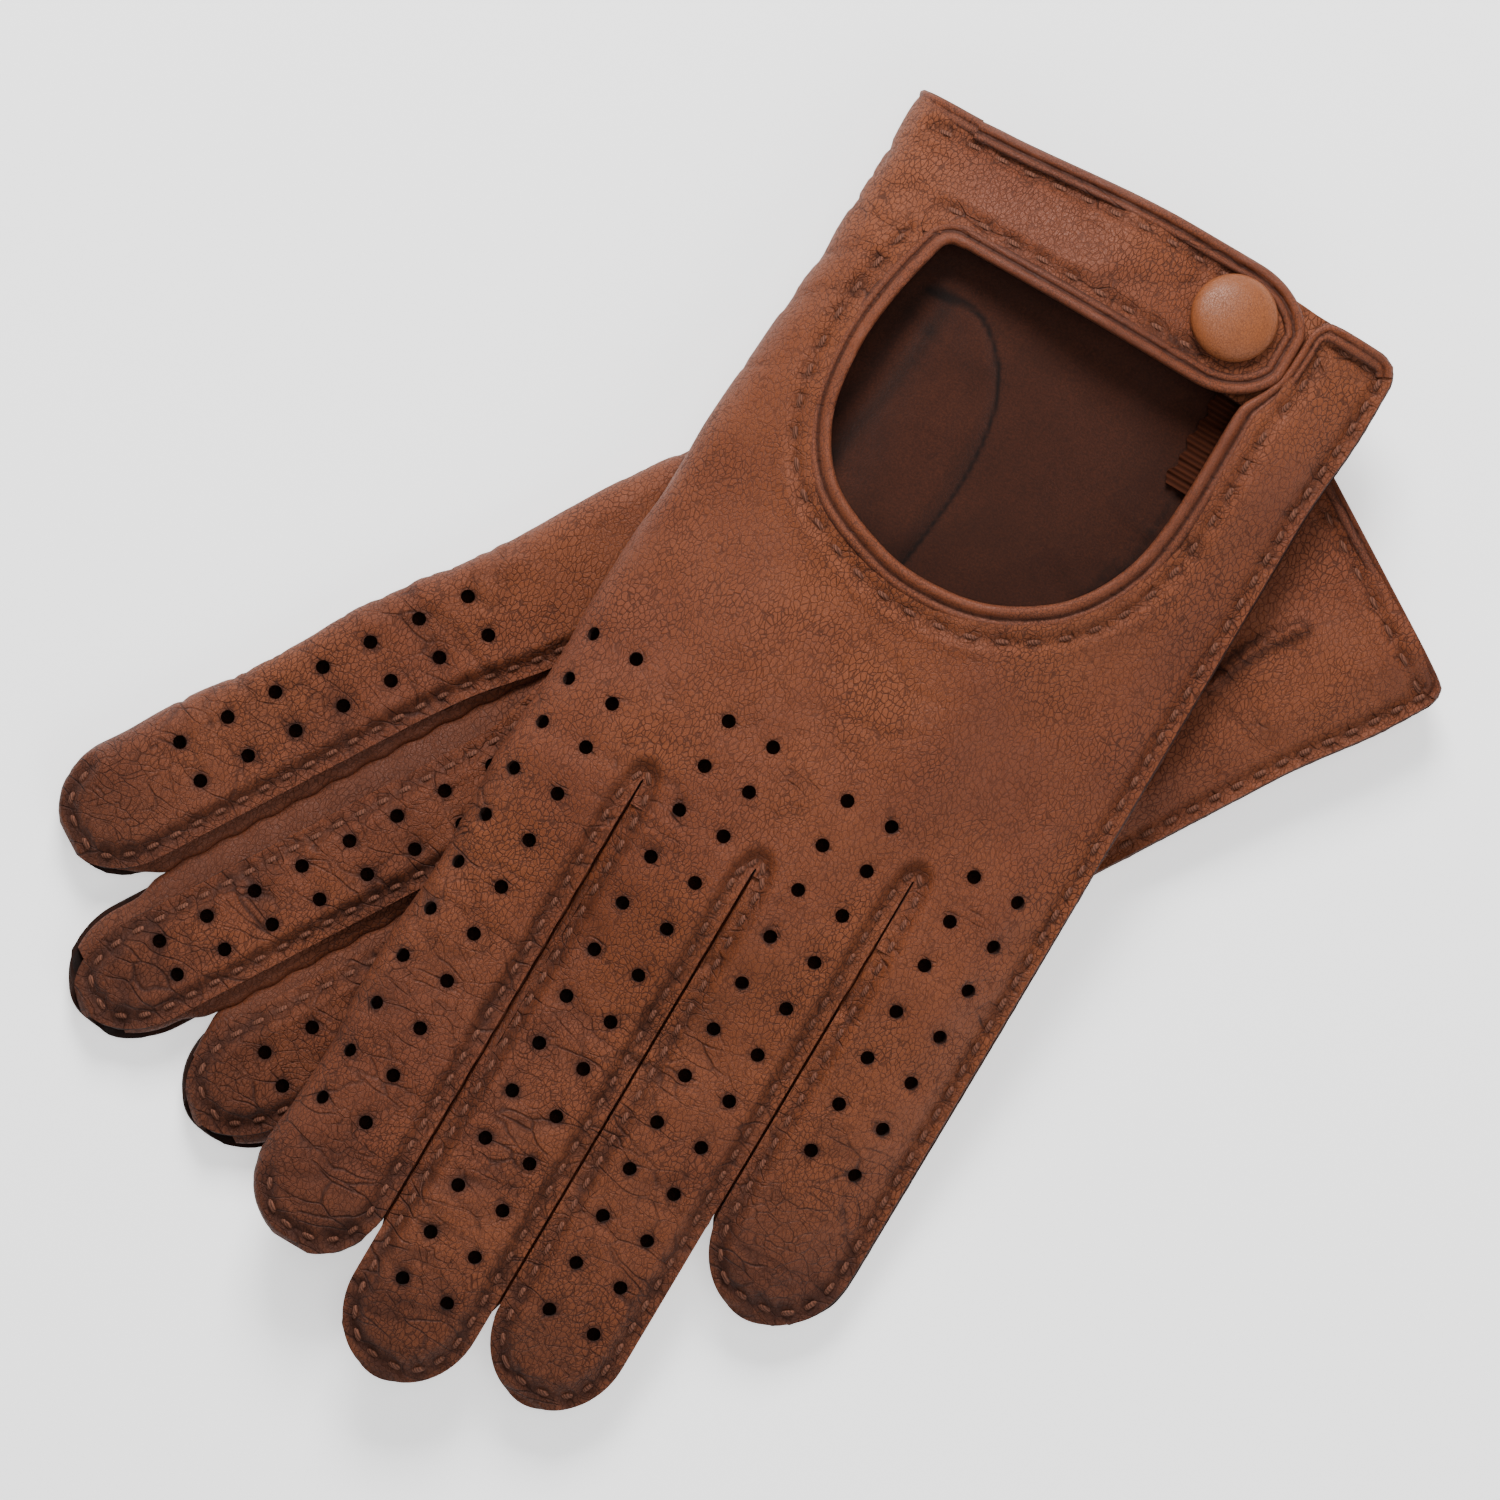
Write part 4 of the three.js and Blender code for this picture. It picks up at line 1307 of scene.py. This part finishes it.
@dataclass
class FingerShell:
    """The leather of one finger: wrapped for the index, two panels for the others."""

    form: Form
    layout: Layout
    finger: int
    spacing: float = 0.85

    def tip_stations(self) -> Array:
        """Heights from just past the knuckles to the tip, close together at its end."""
        tip, reach = self.form.tip_y(self.finger), PATTERN.widths[self.finger] * 0.55
        straight = np.arange(PATTERN.knuckle_y - 1.0, tip + reach, -1.0)
        angle = np.linspace(0.0, math.pi / 2, 16)[1:]
        return np.concatenate([straight, tip + reach * (1.0 - np.sin(angle))])

    @staticmethod
    def rounded(end: Array) -> Array:
        """The straight end of a finger, bowed a little outwards."""
        t = np.linspace(-1.0, 1.0, len(end))
        return end - np.column_stack([0 * t, 0.9 * (1.0 - t * t)])

    def outline(self, wrap: Wrap, face: Face | None) -> Array:
        """The edge of the wrapped sheet, or of one panel."""
        x0 = finger_left(self.finger)
        xs = base_points(x0, x0 + PATTERN.widths[self.finger])
        base = np.column_stack([xs, np.full_like(xs, PATTERN.knuckle_y)])
        ys = self.tip_stations()
        reach = wrap.reach(ys)
        if face is None:
            back, palm = wrap.develop(base, Face.BACK), wrap.develop(base, Face.PALM)[::-1]
            _, outer = self.form.edges(0, ys)
            _, inner = self.form.palm_edges(0, ys)
            right, left = np.column_stack([reach, ys]), np.column_stack([outer - inner - reach, ys])
            end = resample(np.array([right[-1], left[-1]]), 0.9)
            return loop_of(palm, back, right, end, left[::-1])
        low, high = self.form.panel_edges(self.finger, ys, face)
        if face is Face.PALM:
            ys = ys + PATTERN.palm_short * smooth((-60.0 - ys) / 30.0) ** 2
        left, _ = wrap.sides(ys)
        far = np.column_stack([face.value * (1.0 + high - left), ys])
        near = np.column_stack([face.value * (1.0 + low - left), ys])
        end = self.rounded(resample(np.array([far[-1], near[-1]]), 0.9))
        line = loop_of(wrap.develop(base, face), far, end, near[::-1])
        return line if face is Face.BACK else line[::-1]

    def build(self) -> list[bpy.types.Object]:
        """Makes the finger's sheets."""
        wrap = Wrap(self.form, self.finger)
        rows = self.layout.rows()
        holes = [h for h in self.layout.finger_holes() if h[2] < PATTERN.knuckle_y - 1.4]
        mine = float(self.form.centre(self.finger, np.array(-60.0)))
        holes = [h for h in holes if abs(h[1] - mine) < PATTERN.widths[self.finger] / 2]
        relief = Relief(wrap, holes, rows, self.layout.slits(self.finger))
        name = PATTERN.names[self.finger]
        out = []
        for face in ((None,) if self.finger == 0 else tuple(Face)):
            near = [h for h in holes if face is None or h[0] is face]
            punched = [(*wrap.develop(np.array([x, y]), f), PUNCH) for f, x, y in near]
            points, faces = triangulate(self.outline(wrap, face), [], self.spacing, punched)
            n, dark = relief.at(points)
            tip = smooth((self.form.tip_y(self.finger) + 30.0 - points[:, 1]) / 30.0)
            dark = dark + 0.3 * tip + 0.22 * smooth((PATTERN.knuckle_y - points[:, 1]) / 45.0)
            mesh = Mesh(self.form.lay(wrap.flat(points, n)), list(faces), np.clip(dark, 0.0, 1.0))
            label = "leather" if face is None else ("back" if face is Face.BACK else "palm")
            obj = make_object(f"{self.form.side.value}_{name}_{label}_skin", mesh,
                              self.form.side is Side.RIGHT)
            give_wall(obj, PATTERN.leather * MM, skin(self.form))
            out.append(obj)
        return out


# ---------------------------------------------------------------- dressings


def closed_object(name: str, points: Array, faces: Sequence, material: bpy.types.Material,
                  dark: Array | None = None) -> bpy.types.Object:
    """Makes an object from closed surfaces, with its faces turned outwards.

    Args:
        name: the piece's name.
        points: its points, in metres.
        faces: its faces, all turned the same way.
        material: its finish.
        dark: optional mask of painted shade.

    Returns:
        The new object.
    """
    volume = 0.0
    middle = points.mean(axis=0)
    for f in faces:
        a = points[f[0]] - middle
        for i in range(1, len(f) - 1):
            volume += float(np.dot(a, np.cross(points[f[i]] - middle, points[f[i + 1]] - middle)))
    obj = make_object(name, Mesh(points, list(faces), dark), volume < 0)
    obj.data.materials.append(material)
    smooth_shaded(obj)
    return obj


def strip_faces(rows: int, across: int) -> list[tuple[int, int, int, int]]:
    """Faces of an open sheet whose points go row by row."""
    return [(i * across + k, i * across + k + 1, (i + 1) * across + k + 1, (i + 1) * across + k)
            for i in range(rows - 1) for k in range(across - 1)]


def tube_faces(rings: int, sides: int, start: int = 0) -> list[tuple[int, ...]]:
    """Faces of a tube whose points go ring by ring, with its ends closed."""
    faces = []
    for i in range(rings - 1):
        j = i + 1
        for k in range(sides):
            m = (k + 1) % sides
            faces.append((start + i * sides + k, start + i * sides + m,
                          start + j * sides + m, start + j * sides + k))
    faces.append(tuple(start + k for k in range(sides))[::-1])
    faces.append(tuple(start + (rings - 1) * sides + k for k in range(sides)))
    return faces


ROLL = np.array([(-1.5, -0.9), (-1.95, -0.3), (-1.9, 0.3), (-1.45, 0.75), (-0.8, 0.88), (-0.2, 0.62),
                 (0.15, 0.1), (0.5, 0.02), (0.85, 0.36), (1.4, 0.42), (1.95, 0.16), (2.15, -0.15),
                 (1.9, -0.8), (0.2, -1.15)])
HEM = np.array([(-2.3, 0.02), (-1.9, 0.3), (-1.3, 0.38), (-0.8, 0.12), (-0.4, 0.42), (0.2, 0.55),
                (0.65, 0.2), (0.75, -0.5), (0.35, -1.15), (-0.6, -1.3), (-2.2, -1.1)])


def sweep(form: Form, name: str, line: Array, section: Array, surface: "Wrap | Deck",
          material: bpy.types.Material, girth: Array | float = 1.0) -> bpy.types.Object:
    """Carries a rolled edge's section along a line on a glove's surface.

    Args:
        form: the glove's shape.
        name: the piece's name.
        line: the line, in the surface's coordinates.
        section: (across, up) points, across being to the line's right.
        surface: the leather it lies on.
        material: its finish.
        girth: the section's size along the line.

    Returns:
        The new object.
    """
    along = np.gradient(line, axis=0)
    along /= np.linalg.norm(along, axis=1)[:, None]
    right = np.column_stack([along[:, 1], -along[:, 0]]) * (np.ones(len(line)) * girth)[:, None]
    s = np.concatenate([[0.0], np.cumsum(np.linalg.norm(np.diff(line, axis=0), axis=1))])
    points = (line[:, None, :] + right[:, None, :] * section[None, :, :1]).reshape(-1, 2)
    swell = (1.0 + 0.10 * np.sin(s * 2 * math.pi / 5.3) + 0.08 * np.sin(s * 0.71)) * girth
    up = (section[None, :, 1] * swell[:, None]).reshape(-1)
    # Painted shade: the rolled edge is darker towards its underside, where it meets the leather.
    dark = np.tile(np.clip(0.75 - 1.6 * section[:, 1], 0.0, 0.85), len(line))
    flat = surface.flat(points, up)
    return closed_object(name, form.lay(flat), tube_faces(len(line), len(section)), material, dark)


@dataclass
class Stitching:
    """Stitches as small beans, seated in their row's valley.

    Attributes:
        form: the glove's shape.
        name: the piece's name.
    """

    form: Form
    name: str

    def bean(self, surface: "Wrap | Deck", relief: Relief, row: Row, middle: Array, along: Array,
             seat: float) -> Array:
        """The points of one stitch."""
        right = np.array([along[1], -along[0]])
        t = np.array([-1.0, -0.62, 0.0, 0.62, 1.0])
        thick = row.thick / 2 * np.array([0.45, 0.92, 1.0, 0.92, 0.45])
        sink = np.array([-0.42, -0.02, 0.12, -0.02, -0.42])
        a = np.linspace(0.0, 2 * math.pi, 6, endpoint=False)
        points = np.empty((30, 2))
        up = np.empty(30)
        for i in range(5):
            across = np.cos(a) * thick[i]
            points[i * 6:i * 6 + 6] = middle + along * t[i] * row.length / 2 + right * across[:, None]
            up[i * 6:i * 6 + 6] = seat + 0.24 + sink[i] + np.sin(a) * thick[i] * 0.85
        if isinstance(surface, Wrap):
            points = surface.develop(points, row.face)
        return self.form.lay(surface.flat(points, up))

    def build(self, sets: Sequence[tuple]) -> bpy.types.Object:
        """Makes one object from (surface, relief, row, which middles belong) sets."""
        points, faces = [], []
        for surface, relief, row, chosen in sets:
            middles, alongs = row.stitches()
            keep = chosen(middles)
            middles, alongs = middles[keep], alongs[keep]
            if not len(middles):
                continue
            seats, _ = relief.at(surface.develop(middles, row.face))
            for middle, along, seat in zip(middles, alongs, seats):
                faces += tube_faces(5, 6, 30 * len(points))
                points.append(self.bean(surface, relief, row, middle, along, seat))
        return closed_object(self.name, np.vstack(points), faces, FINISHES["thread"])


@dataclass
class Strap:
    """The wrist strap with its rolled edge, stitches and snap.

    Attributes:
        form: the glove's shape.
        layout: where its stitches are.
    """

    form: Form
    layout: Layout

    def relief(self, deck: Deck) -> Relief:
        """The strap's small shape."""
        low, high = strap_outline(3.1, 8.0)
        tip = Ridge(np.vstack([low, high]), Face.BACK, 0.28, 0.8, 0.25)
        edge = Ridge(np.vstack(strap_outline(0.6, -27.0)), Face.BACK, -1.0, 2.1, 0.0)
        return Relief(deck, [], self.layout.strap_rows(), [tip, edge])

    def leather(self) -> bpy.types.Object:
        """The strap's own leather."""
        deck = Deck(self.form)
        low, high = strap_outline(0.9, PATTERN.strap_root)
        low = np.vstack([[[PATTERN.strap_root, 95.4], [-31.0, 95.8], [-29.4, 96.4]], low[low[:, 0] > -28.6]])
        root = resample(np.array([high[-1], low[0]]), 1.1)
        outline = resample(loop_of(low, high, root), 1.1, closed=True)
        points, faces = triangulate(outline, [], 1.1)
        n, dark = self.relief(deck).at(points)
        mesh = Mesh(self.form.lay(deck.flat(points, n)), list(faces), dark)
        obj = make_object(f"{self.form.side.value}_strap_leather", mesh, self.form.side is Side.RIGHT)
        give_wall(obj, PATTERN.leather * MM, [FINISHES["strap"], FINISHES["suede"], FINISHES["edge"]])
        return obj

    def edge(self) -> bpy.types.Object:
        """The rolled binding round the strap's free edges."""
        low, high = strap_outline(1.45, -25.8)
        end = high[-1, 1]
        line = resample(np.vstack([low, high, [[-29.0, end - 0.1], [-32.6, end - 0.3]]]), 0.8)
        return sweep(self.form, f"{self.form.side.value}_strap_roll", line, ROLL * [-0.86, 0.95],
                     Deck(self.form), FINISHES["binding"])

    def stitches(self) -> bpy.types.Object:
        """The two rows of stitches."""
        deck = Deck(self.form)
        relief = self.relief(deck)
        return Stitching(self.form, f"{self.form.side.value}_strap_stitches").build(
            [(deck, relief, row, lambda m: m[:, 0] > PATTERN.strap_root) for row in self.layout.strap_rows()])

    def cap(self) -> bpy.types.Object:
        """The leather-covered dome of the snap."""
        dome = 7.45
        bpy.ops.mesh.primitive_uv_sphere_add(segments=56, ring_count=36, radius=dome)
        obj = bpy.context.object
        obj.name = f"{self.form.side.value}_snap_cap"
        bpy.ops.object.mode_set(mode="EDIT")
        bpy.ops.mesh.select_all(action="SELECT")
        bpy.ops.transform.resize(value=(1.0, 1.0, 0.4), center_override=(0.0, 0.0, 0.0))
        bpy.ops.object.mode_set(mode="OBJECT")
        co = np.array([v.co for v in obj.data.vertices])
        radius = np.hypot(co[:, 0], co[:, 1])
        low = co[:, 2] < 0
        co[:, 2] = np.where(low, co[:, 2] * 0.42, co[:, 2]) + 0.95
        co[low, :2] *= (1.0 - 0.06 * (1.0 - radius[low] / dome))[:, None]
        x, y = PATTERN.snap
        flat = co + np.array([x, y, float(half_at(np.array(y))) + 0.15])
        points = self.form.lay(flat)
        obj.data.vertices.foreach_set("co", points.astype(np.float32).ravel())
        if self.form.side is Side.RIGHT:
            obj.data.flip_normals()
        obj.data.materials.append(FINISHES["cap"])
        obj.data.update()
        smooth_shaded(obj)
        return obj


def tab_sheet(form: Form) -> bpy.types.Object:
    """The underlap below the strap's tip, carried up under the side panel."""
    x, y = PATTERN.snap

    def sink(points: Array) -> Array:
        """Depth under the skin: deep below the snap, then rising to the panel."""
        return 1.2 + 1.75 * (1.0 - smooth((points[:, 0] - x - 5.6) / 8.0))

    deck = Deck(form, sink)
    outline = spline([(37.0, 98.2), (32.0, 97.4), (26.0, 97.6), (18.0, 98.4), (13.2, 101.0), (11.6, 106.5),
                      (12.4, 112.5), (16.0, 116.2), (24.0, 117.4), (32.0, 117.0), (37.0, 115.8),
                      (37.2, 107.0), (37.0, 98.2)], 8)[:-1]
    points, faces = triangulate(resample(outline, 1.2, closed=True), [], 1.2)
    mesh = Mesh(form.lay(deck.flat(points, 0.12 * np.sin(points[:, 1] * 0.8))), list(faces), None)
    obj = make_object(f"{form.side.value}_underlap", mesh, form.side is Side.RIGHT)
    give_wall(obj, 0.9 * MM, skin(form))
    return obj


def elastic_tape(form: Form) -> bpy.types.Object:
    """The gathered tape inside the wrist, along the ruched seam."""
    y = np.arange(80.0, 99.2, 0.35)
    across = np.array([0.0, 0.6, 1.8, 3.2, 4.4, 5.0])
    x = 24.6 + across[None, :] + (0.35 * np.sin(y * 1.9) + 0.25 * np.sin(y * 0.83))[:, None]
    gather = 0.22 * np.sin(y * 2.3)[:, None] * np.array([1.0, 0.8, 0.3, 0.3, 0.8, 1.0])[None, :]
    z = -half_at(y)[:, None] + PATTERN.leather + 0.75 + gather
    flat = np.stack([x, np.repeat(y[:, None], len(across), 1), z], axis=-1).reshape(-1, 3)
    faces = strip_faces(len(y), 6)
    obj = make_object(f"{form.side.value}_elastic_tape", Mesh(form.lay(flat), faces, None),
                      form.side is Side.RIGHT)
    give_wall(obj, 0.5 * MM, [FINISHES["elastic"]] * 3)
    return obj


def thumb_stall(form: Form) -> bpy.types.Object:
    """The thumb, pressed flat under the palm."""
    a, b = np.array(PATTERN.thumb_base), np.array(PATTERN.thumb_tip)
    along = (b - a) / np.linalg.norm(b - a)
    side = np.array([-along[1], along[0]])
    s = np.concatenate([np.linspace(0.0, 0.8, 26), 0.8 + 0.2 * np.sin(np.linspace(0, math.pi / 2, 12))[1:]])
    angle = np.linspace(0.0, 2 * math.pi, 40, endpoint=False)
    rows = []
    for k, t in enumerate(s):
        late = max(0.0, (t - 0.82) / 0.18)
        early = max(0.0, 1.0 - t / 0.12)
        narrow = math.sqrt(max(1.0 - 0.84 * late * late, 0.0)) * math.sqrt(1.0 - 0.5 * early * early)
        half = 14.6 * (1.0 - 0.3 * t) * narrow
        thick = 1.62 * math.sqrt(max(1.0 - 0.75 * late ** 3 - 0.4 * early ** 2, 0.1))
        across = np.sign(np.cos(angle)) * np.abs(np.cos(angle)) ** 0.8 * half
        rise = np.sign(np.sin(angle)) * np.abs(np.sin(angle)) ** 0.62 * thick
        at = a + (b - a) * t + side * across[:, None]
        wave = 0.18 * (cloud(at[:, 0] / 6, at[:, 1] / 6, 4.0) - 0.5)
        z = -PATTERN.thumb_gap - 1.72 + rise * (1.0 + wave) - half_at(at[:, 1])
        rows.append(np.column_stack([at, z]))
    return closed_object(f"{form.side.value}_thumb_stall", form.lay(np.vstack(rows)),
                         tube_faces(len(s), len(angle)), FINISHES[form.leather])


def fourchette(form: Form, finger: int, on_right: bool) -> bpy.types.Object:
    """The gusset along one side of a finger, between its back and palm panels."""
    wrap = Wrap(form, finger)
    top = PATTERN.slit_tops[finger if on_right else finger - 1] + 0.8
    y = np.arange(top, form.tip_y(finger) + 4.0, -1.2)
    at = np.minimum(y, PATTERN.knuckle_y)
    left, right = form.edges(finger, at)
    inset = 1.2
    edge = right - inset if on_right else left + inset
    palm_left, palm_right = form.palm_edges(finger, at)
    palm_edge = palm_right - inset if on_right else palm_left + inset
    z = np.maximum(wrap.height(edge, at) - 2.15, 0.12)
    z_palm = np.maximum(wrap.height(palm_edge, at) - 2.15, 0.12)
    v = np.linspace(-1.0, 1.0, GUSSET_ROWS)
    near, far = form.edges(finger + (1 if on_right else -1), at)
    beside_tip = form.tip_y(finger + (1 if on_right else -1))
    ends = smooth((at - max(beside_tip, form.tip_y(finger)) - 5.0) / 8.0)
    gap = np.clip(near - right if on_right else left - far, 0.3, 3.2) * ends
    meet = 0.12 if form.side is Side.RIGHT else 0.04
    swell = (0.35 + (inset - 0.35) * ends + gap / 2 + meet * ends) * (1.0 if on_right else -1.0)
    bulge = swell[:, None] * (1.0 - v ** 4)[None, :]
    wave = 0.3 * np.sin(y * 0.9)[:, None] * (1.0 - v ** 2)[None, :] * ends[:, None]
    share = np.clip(-v, 0.0, 1.0)[None, :] ** 2
    x = edge[:, None] + (palm_edge - edge)[:, None] * share + bulge + wave
    depth = np.where(v > 0, z[:, None] * v[None, :], z_palm[:, None] * v[None, :])
    flat = np.stack([x, np.repeat(y[:, None], GUSSET_ROWS, 1), depth], axis=-1).reshape(-1, 3)
    faces = strip_faces(len(y), GUSSET_ROWS)
    other = PATTERN.names[finger + 1 if on_right else finger - 1]
    name = f"{form.side.value}_{PATTERN.names[finger]}_gusset_to_{other}"
    flip = (form.side is Side.RIGHT) == on_right
    obj = make_object(name, Mesh(form.lay(flat), faces, None), flip)
    give_wall(obj, 0.8 * MM, [FINISHES["gusset"], FINISHES["suede"], FINISHES["edge"]])
    return obj


# ---------------------------------------------------------------- scene


def set_camera() -> None:
    """Looks straight down on the pair, turned so that it lies across the view."""
    middle = np.array([0.0003, 0.0028])
    view_width, height, distance = 0.252, 0.02, 1.5
    right = Vector((0.861, 0.508, 0.0)).normalized()
    up = Vector((-right.y, right.x, 0.0))
    data = bpy.data.cameras.new("camera")
    data.sensor_width = 36.0
    data.lens = data.sensor_width * (distance - height) / view_width
    data.clip_end = 10.0
    camera = bpy.data.objects.new("camera", data)
    bpy.context.scene.collection.objects.link(camera)
    turn = Matrix((right, up, Vector((0.0, 0.0, 1.0)))).transposed()
    camera.matrix_world = Matrix.Translation((middle[0], middle[1], distance)) @ turn.to_4x4()
    bpy.context.scene.camera = camera


def set_stage() -> None:
    """A plain pale floor under soft studio light."""
    bpy.ops.mesh.primitive_plane_add(size=4.0, location=(0.0, 0.0, -0.0003))
    floor = bpy.context.object
    floor.name = "floor"
    n = Nodes("pale_floor")
    n.surface(Base_Color=(0.93, 0.93, 0.93, 1.0), Roughness=0.9, Specular_IOR_Level=0.1)
    n.shader.inputs["Emission Color"].default_value = (1.0, 1.0, 1.0, 1.0)
    n.shader.inputs["Emission Strength"].default_value = 0.85
    floor.data.materials.append(n.material)
    for name, place, power, size in (("key", (-0.45, 0.85, 0.85), 27.0, 0.5),
                                     ("fill", (0.9, -0.4, 0.9), 6.5, 0.8),
                                     ("top", (0.1, 0.15, 1.7), 7.0, 0.6)):
        light = bpy.data.lights.new(name, "AREA")
        light.energy = power
        light.size = size
        lamp = bpy.data.objects.new(name, light)
        lamp.location = place
        lamp.rotation_euler = (-Vector(place)).to_track_quat("-Z", "Y").to_euler()
        bpy.context.scene.collection.objects.link(lamp)
    world = bpy.data.worlds.new("studio")
    world.use_nodes = True
    background = world.node_tree.nodes["Background"]
    background.inputs["Color"].default_value = (1.0, 1.0, 1.0, 1.0)
    background.inputs["Strength"].default_value = 0.3
    bpy.context.scene.world = world


@dataclass
class Glove:
    """One glove with all its pieces.

    Attributes:
        side: left or right.
    """

    side: Side

    def build(self) -> list[bpy.types.Object]:
        """Makes the glove and hands the hand's pieces, the snap cap and the lower glove's fingers to the
        frame's bodies.
        """
        form = Form(self.side)
        layout = Layout(form)
        pieces = [*self.hand(form, layout), *self.fingers(form, layout), *self.strap(form, layout)]
        self.dress_frame()
        for obj in pieces:
            log.info("%s: %d faces", obj.name, len(obj.data.polygons))
        return pieces

    def take(self, obj: bpy.types.Object, slot: str, *nodes: str) -> bpy.types.Object:
        """Hides the frame's nodes that a piece stands for."""
        if nodes:
            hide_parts(*[f"{self.side.value}_{node}" for node in nodes])
        return obj

    def hand(self, form: Form, layout: Layout) -> list[bpy.types.Object]:
        """The hand's leather, its bound edges, stitches, thumb and underlap."""
        name, wrap = self.side.value, Wrap(form)
        binding = FINISHES["binding"]
        shell = self.take(HandShell(form, layout).build(), "glove_leather", "trank")
        start = spline([(-24.3, 98.2), (-27.0, 97.8), (-28.9, 96.4), (-29.8, 94.2)])
        end = spline([(30.6, 97.0), (32.2, 100.6), (33.6, 104.6), (34.0, 110.0), (34.1, 113.6),
                      (35.4, 115.6)])
        window = resample(np.vstack([start[:-1], window_path(), end[1:]]), 1.0)
        girth = 1.0 - 0.4 * smooth((window[:, 1] - 94.0) / 8.0) * (window[:, 0] > 0)
        roll = self.take(sweep(form, f"{name}_window_roll", window, ROLL, Deck(form), binding, girth),
                         "binding_leather", "window_binding")
        top = PATTERN.cuff_y - 0.4
        u0 = float(wrap.develop(np.array([PATTERN.strap_root + 0.4, top]), Face.BACK)[0])
        reach = float(wrap.reach(np.array(top)))
        u1 = float(wrap.develop(np.array([PATTERN.panel_left + 0.6, top]), Face.BACK)[0])
        cuff = resample(np.array([[0.9 - reach, top - 2.2], [1.6 - reach, top - 0.8], [3.4 - reach, top],
                                  [u0, top]]), 1.0)
        hem = self.take(sweep(form, f"{name}_cuff_roll", cuff, HEM * [-1, 1], wrap, binding),
                        "binding_leather", "cuff_hem")
        panel = np.array([[u1 + 0.8, top - 1.0], [u1 + 1.8, top - 0.2], [u1 + 4.0, top], [reach - 3.4, top],
                          [reach - 1.6, top - 0.8], [reach - 0.9, top - 2.2]])
        panel = self.take(sweep(form, f"{name}_panel_roll", resample(panel, 0.8)[::-1], HEM, wrap, binding),
                          "binding_leather", "panel_hem")
        tab = self.take(tab_sheet(form), "glove_leather", "snap_tab")
        thumb = self.take(thumb_stall(form), "glove_leather", "thumb")
        tape = self.take(elastic_tape(form), "elastic", "wrist_elastic")
        relief = Relief(wrap, [], layout.rows() + layout.strap_rows(), layout.ridges())
        sets = [(wrap, relief, row, lambda m: m[:, 1] > PATTERN.knuckle_y) for row in layout.rows()]
        sets += [(wrap, relief, row, lambda m: m[:, 0] <= PATTERN.strap_root) for row in layout.strap_rows()]
        stitches = self.take(Stitching(form, f"{name}_hand_stitches").build(sets), "thread")
        pieces = [shell, roll, hem, panel, tab, thumb, tape, stitches]
        for obj in pieces:
            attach(obj, f"{name}_glove")
        return pieces

    def fingers(self, form: Form, layout: Layout) -> list[bpy.types.Object]:
        """Every finger's leather, gussets and stitches."""
        out = []
        for i, finger in enumerate(PATTERN.names):
            pieces = []
            for obj in FingerShell(form, layout, i).build():
                node = "index_leather" if i == 0 else f"{finger}_{obj.name.split('_')[2]}"
                pieces.append(self.take(obj, "glove_leather", node))
            for on_right in ([True] if i == 0 else [False] if i == 3 else [False, True]):
                other = PATTERN.names[i + 1 if on_right else i - 1]
                pieces.append(self.take(fourchette(form, i, on_right), "gusset_leather",
                                        f"{finger}_fourchette_to_{other}"))
            wrap = Wrap(form, i)
            relief = Relief(wrap, [], layout.rows(), layout.slits(i))
            lo, hi = finger_left(i) - 3.0, finger_left(i) + PATTERN.widths[i] + 3.0

            def mine(m: Array) -> Array:
                """The stitches that lie on this finger."""
                left, right = form.edges(i, np.minimum(m[:, 1], PATTERN.knuckle_y))
                return (m[:, 1] <= PATTERN.knuckle_y) & (m[:, 0] > left) & (m[:, 0] < right)

            sets = [(wrap, relief, row, mine) for row in layout.rows()
                    if row.line[:, 0].max() > lo and row.line[:, 0].min() < hi]
            pieces.append(self.take(Stitching(form, f"{self.side.value}_{finger}_stitches").build(sets),
                                    "thread"))
            for obj in pieces:
                self.join(obj)
            out += pieces
        return out

    def strap(self, form: Form, layout: Layout) -> list[bpy.types.Object]:
        """The strap with its roll, stitches and cap."""
        name, strap = self.side.value, Strap(form, layout)
        sheets = [self.take(strap.leather(), "glove_leather", "strap"),
                  self.take(strap.edge(), "binding_leather", "strap_binding"),
                  self.take(strap.stitches(), "thread")]
        cap = self.take(strap.cap(), "cap_leather", "cap_cover")
        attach(cap, f"{name}_strap")
        at = [form.lay(np.array([x, 107.0, 5.0])) for x in (PATTERN.strap_root, PATTERN.strap_root + 11.0)]
        for obj in sheets:
            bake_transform(obj)
        return [*sheets, cap]

    def dress_frame(self) -> None:
        """Finishes the snap's metal, which stays as the frame has it."""
        for node in ("cap_shell", "snap_socket", "snap_stud", "snap_post"):
            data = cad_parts[f"{self.side.value}_{node}"].data
            data.materials.clear()
            data.materials.append(FINISHES["metal"])

    def join(self, obj: bpy.types.Object) -> None:
        """Lets a lower glove's finger piece ride that glove; bakes an upper glove's piece in place."""
        if self.side is Side.RIGHT:
            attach(obj, "right_glove")
            return
        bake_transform(obj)


def main() -> None:
    """Builds the pair, its stage and its camera."""
    for side in Side:
        Glove(side).build()
    set_stage()
    set_camera()


if __name__ == "__main__":
    main()
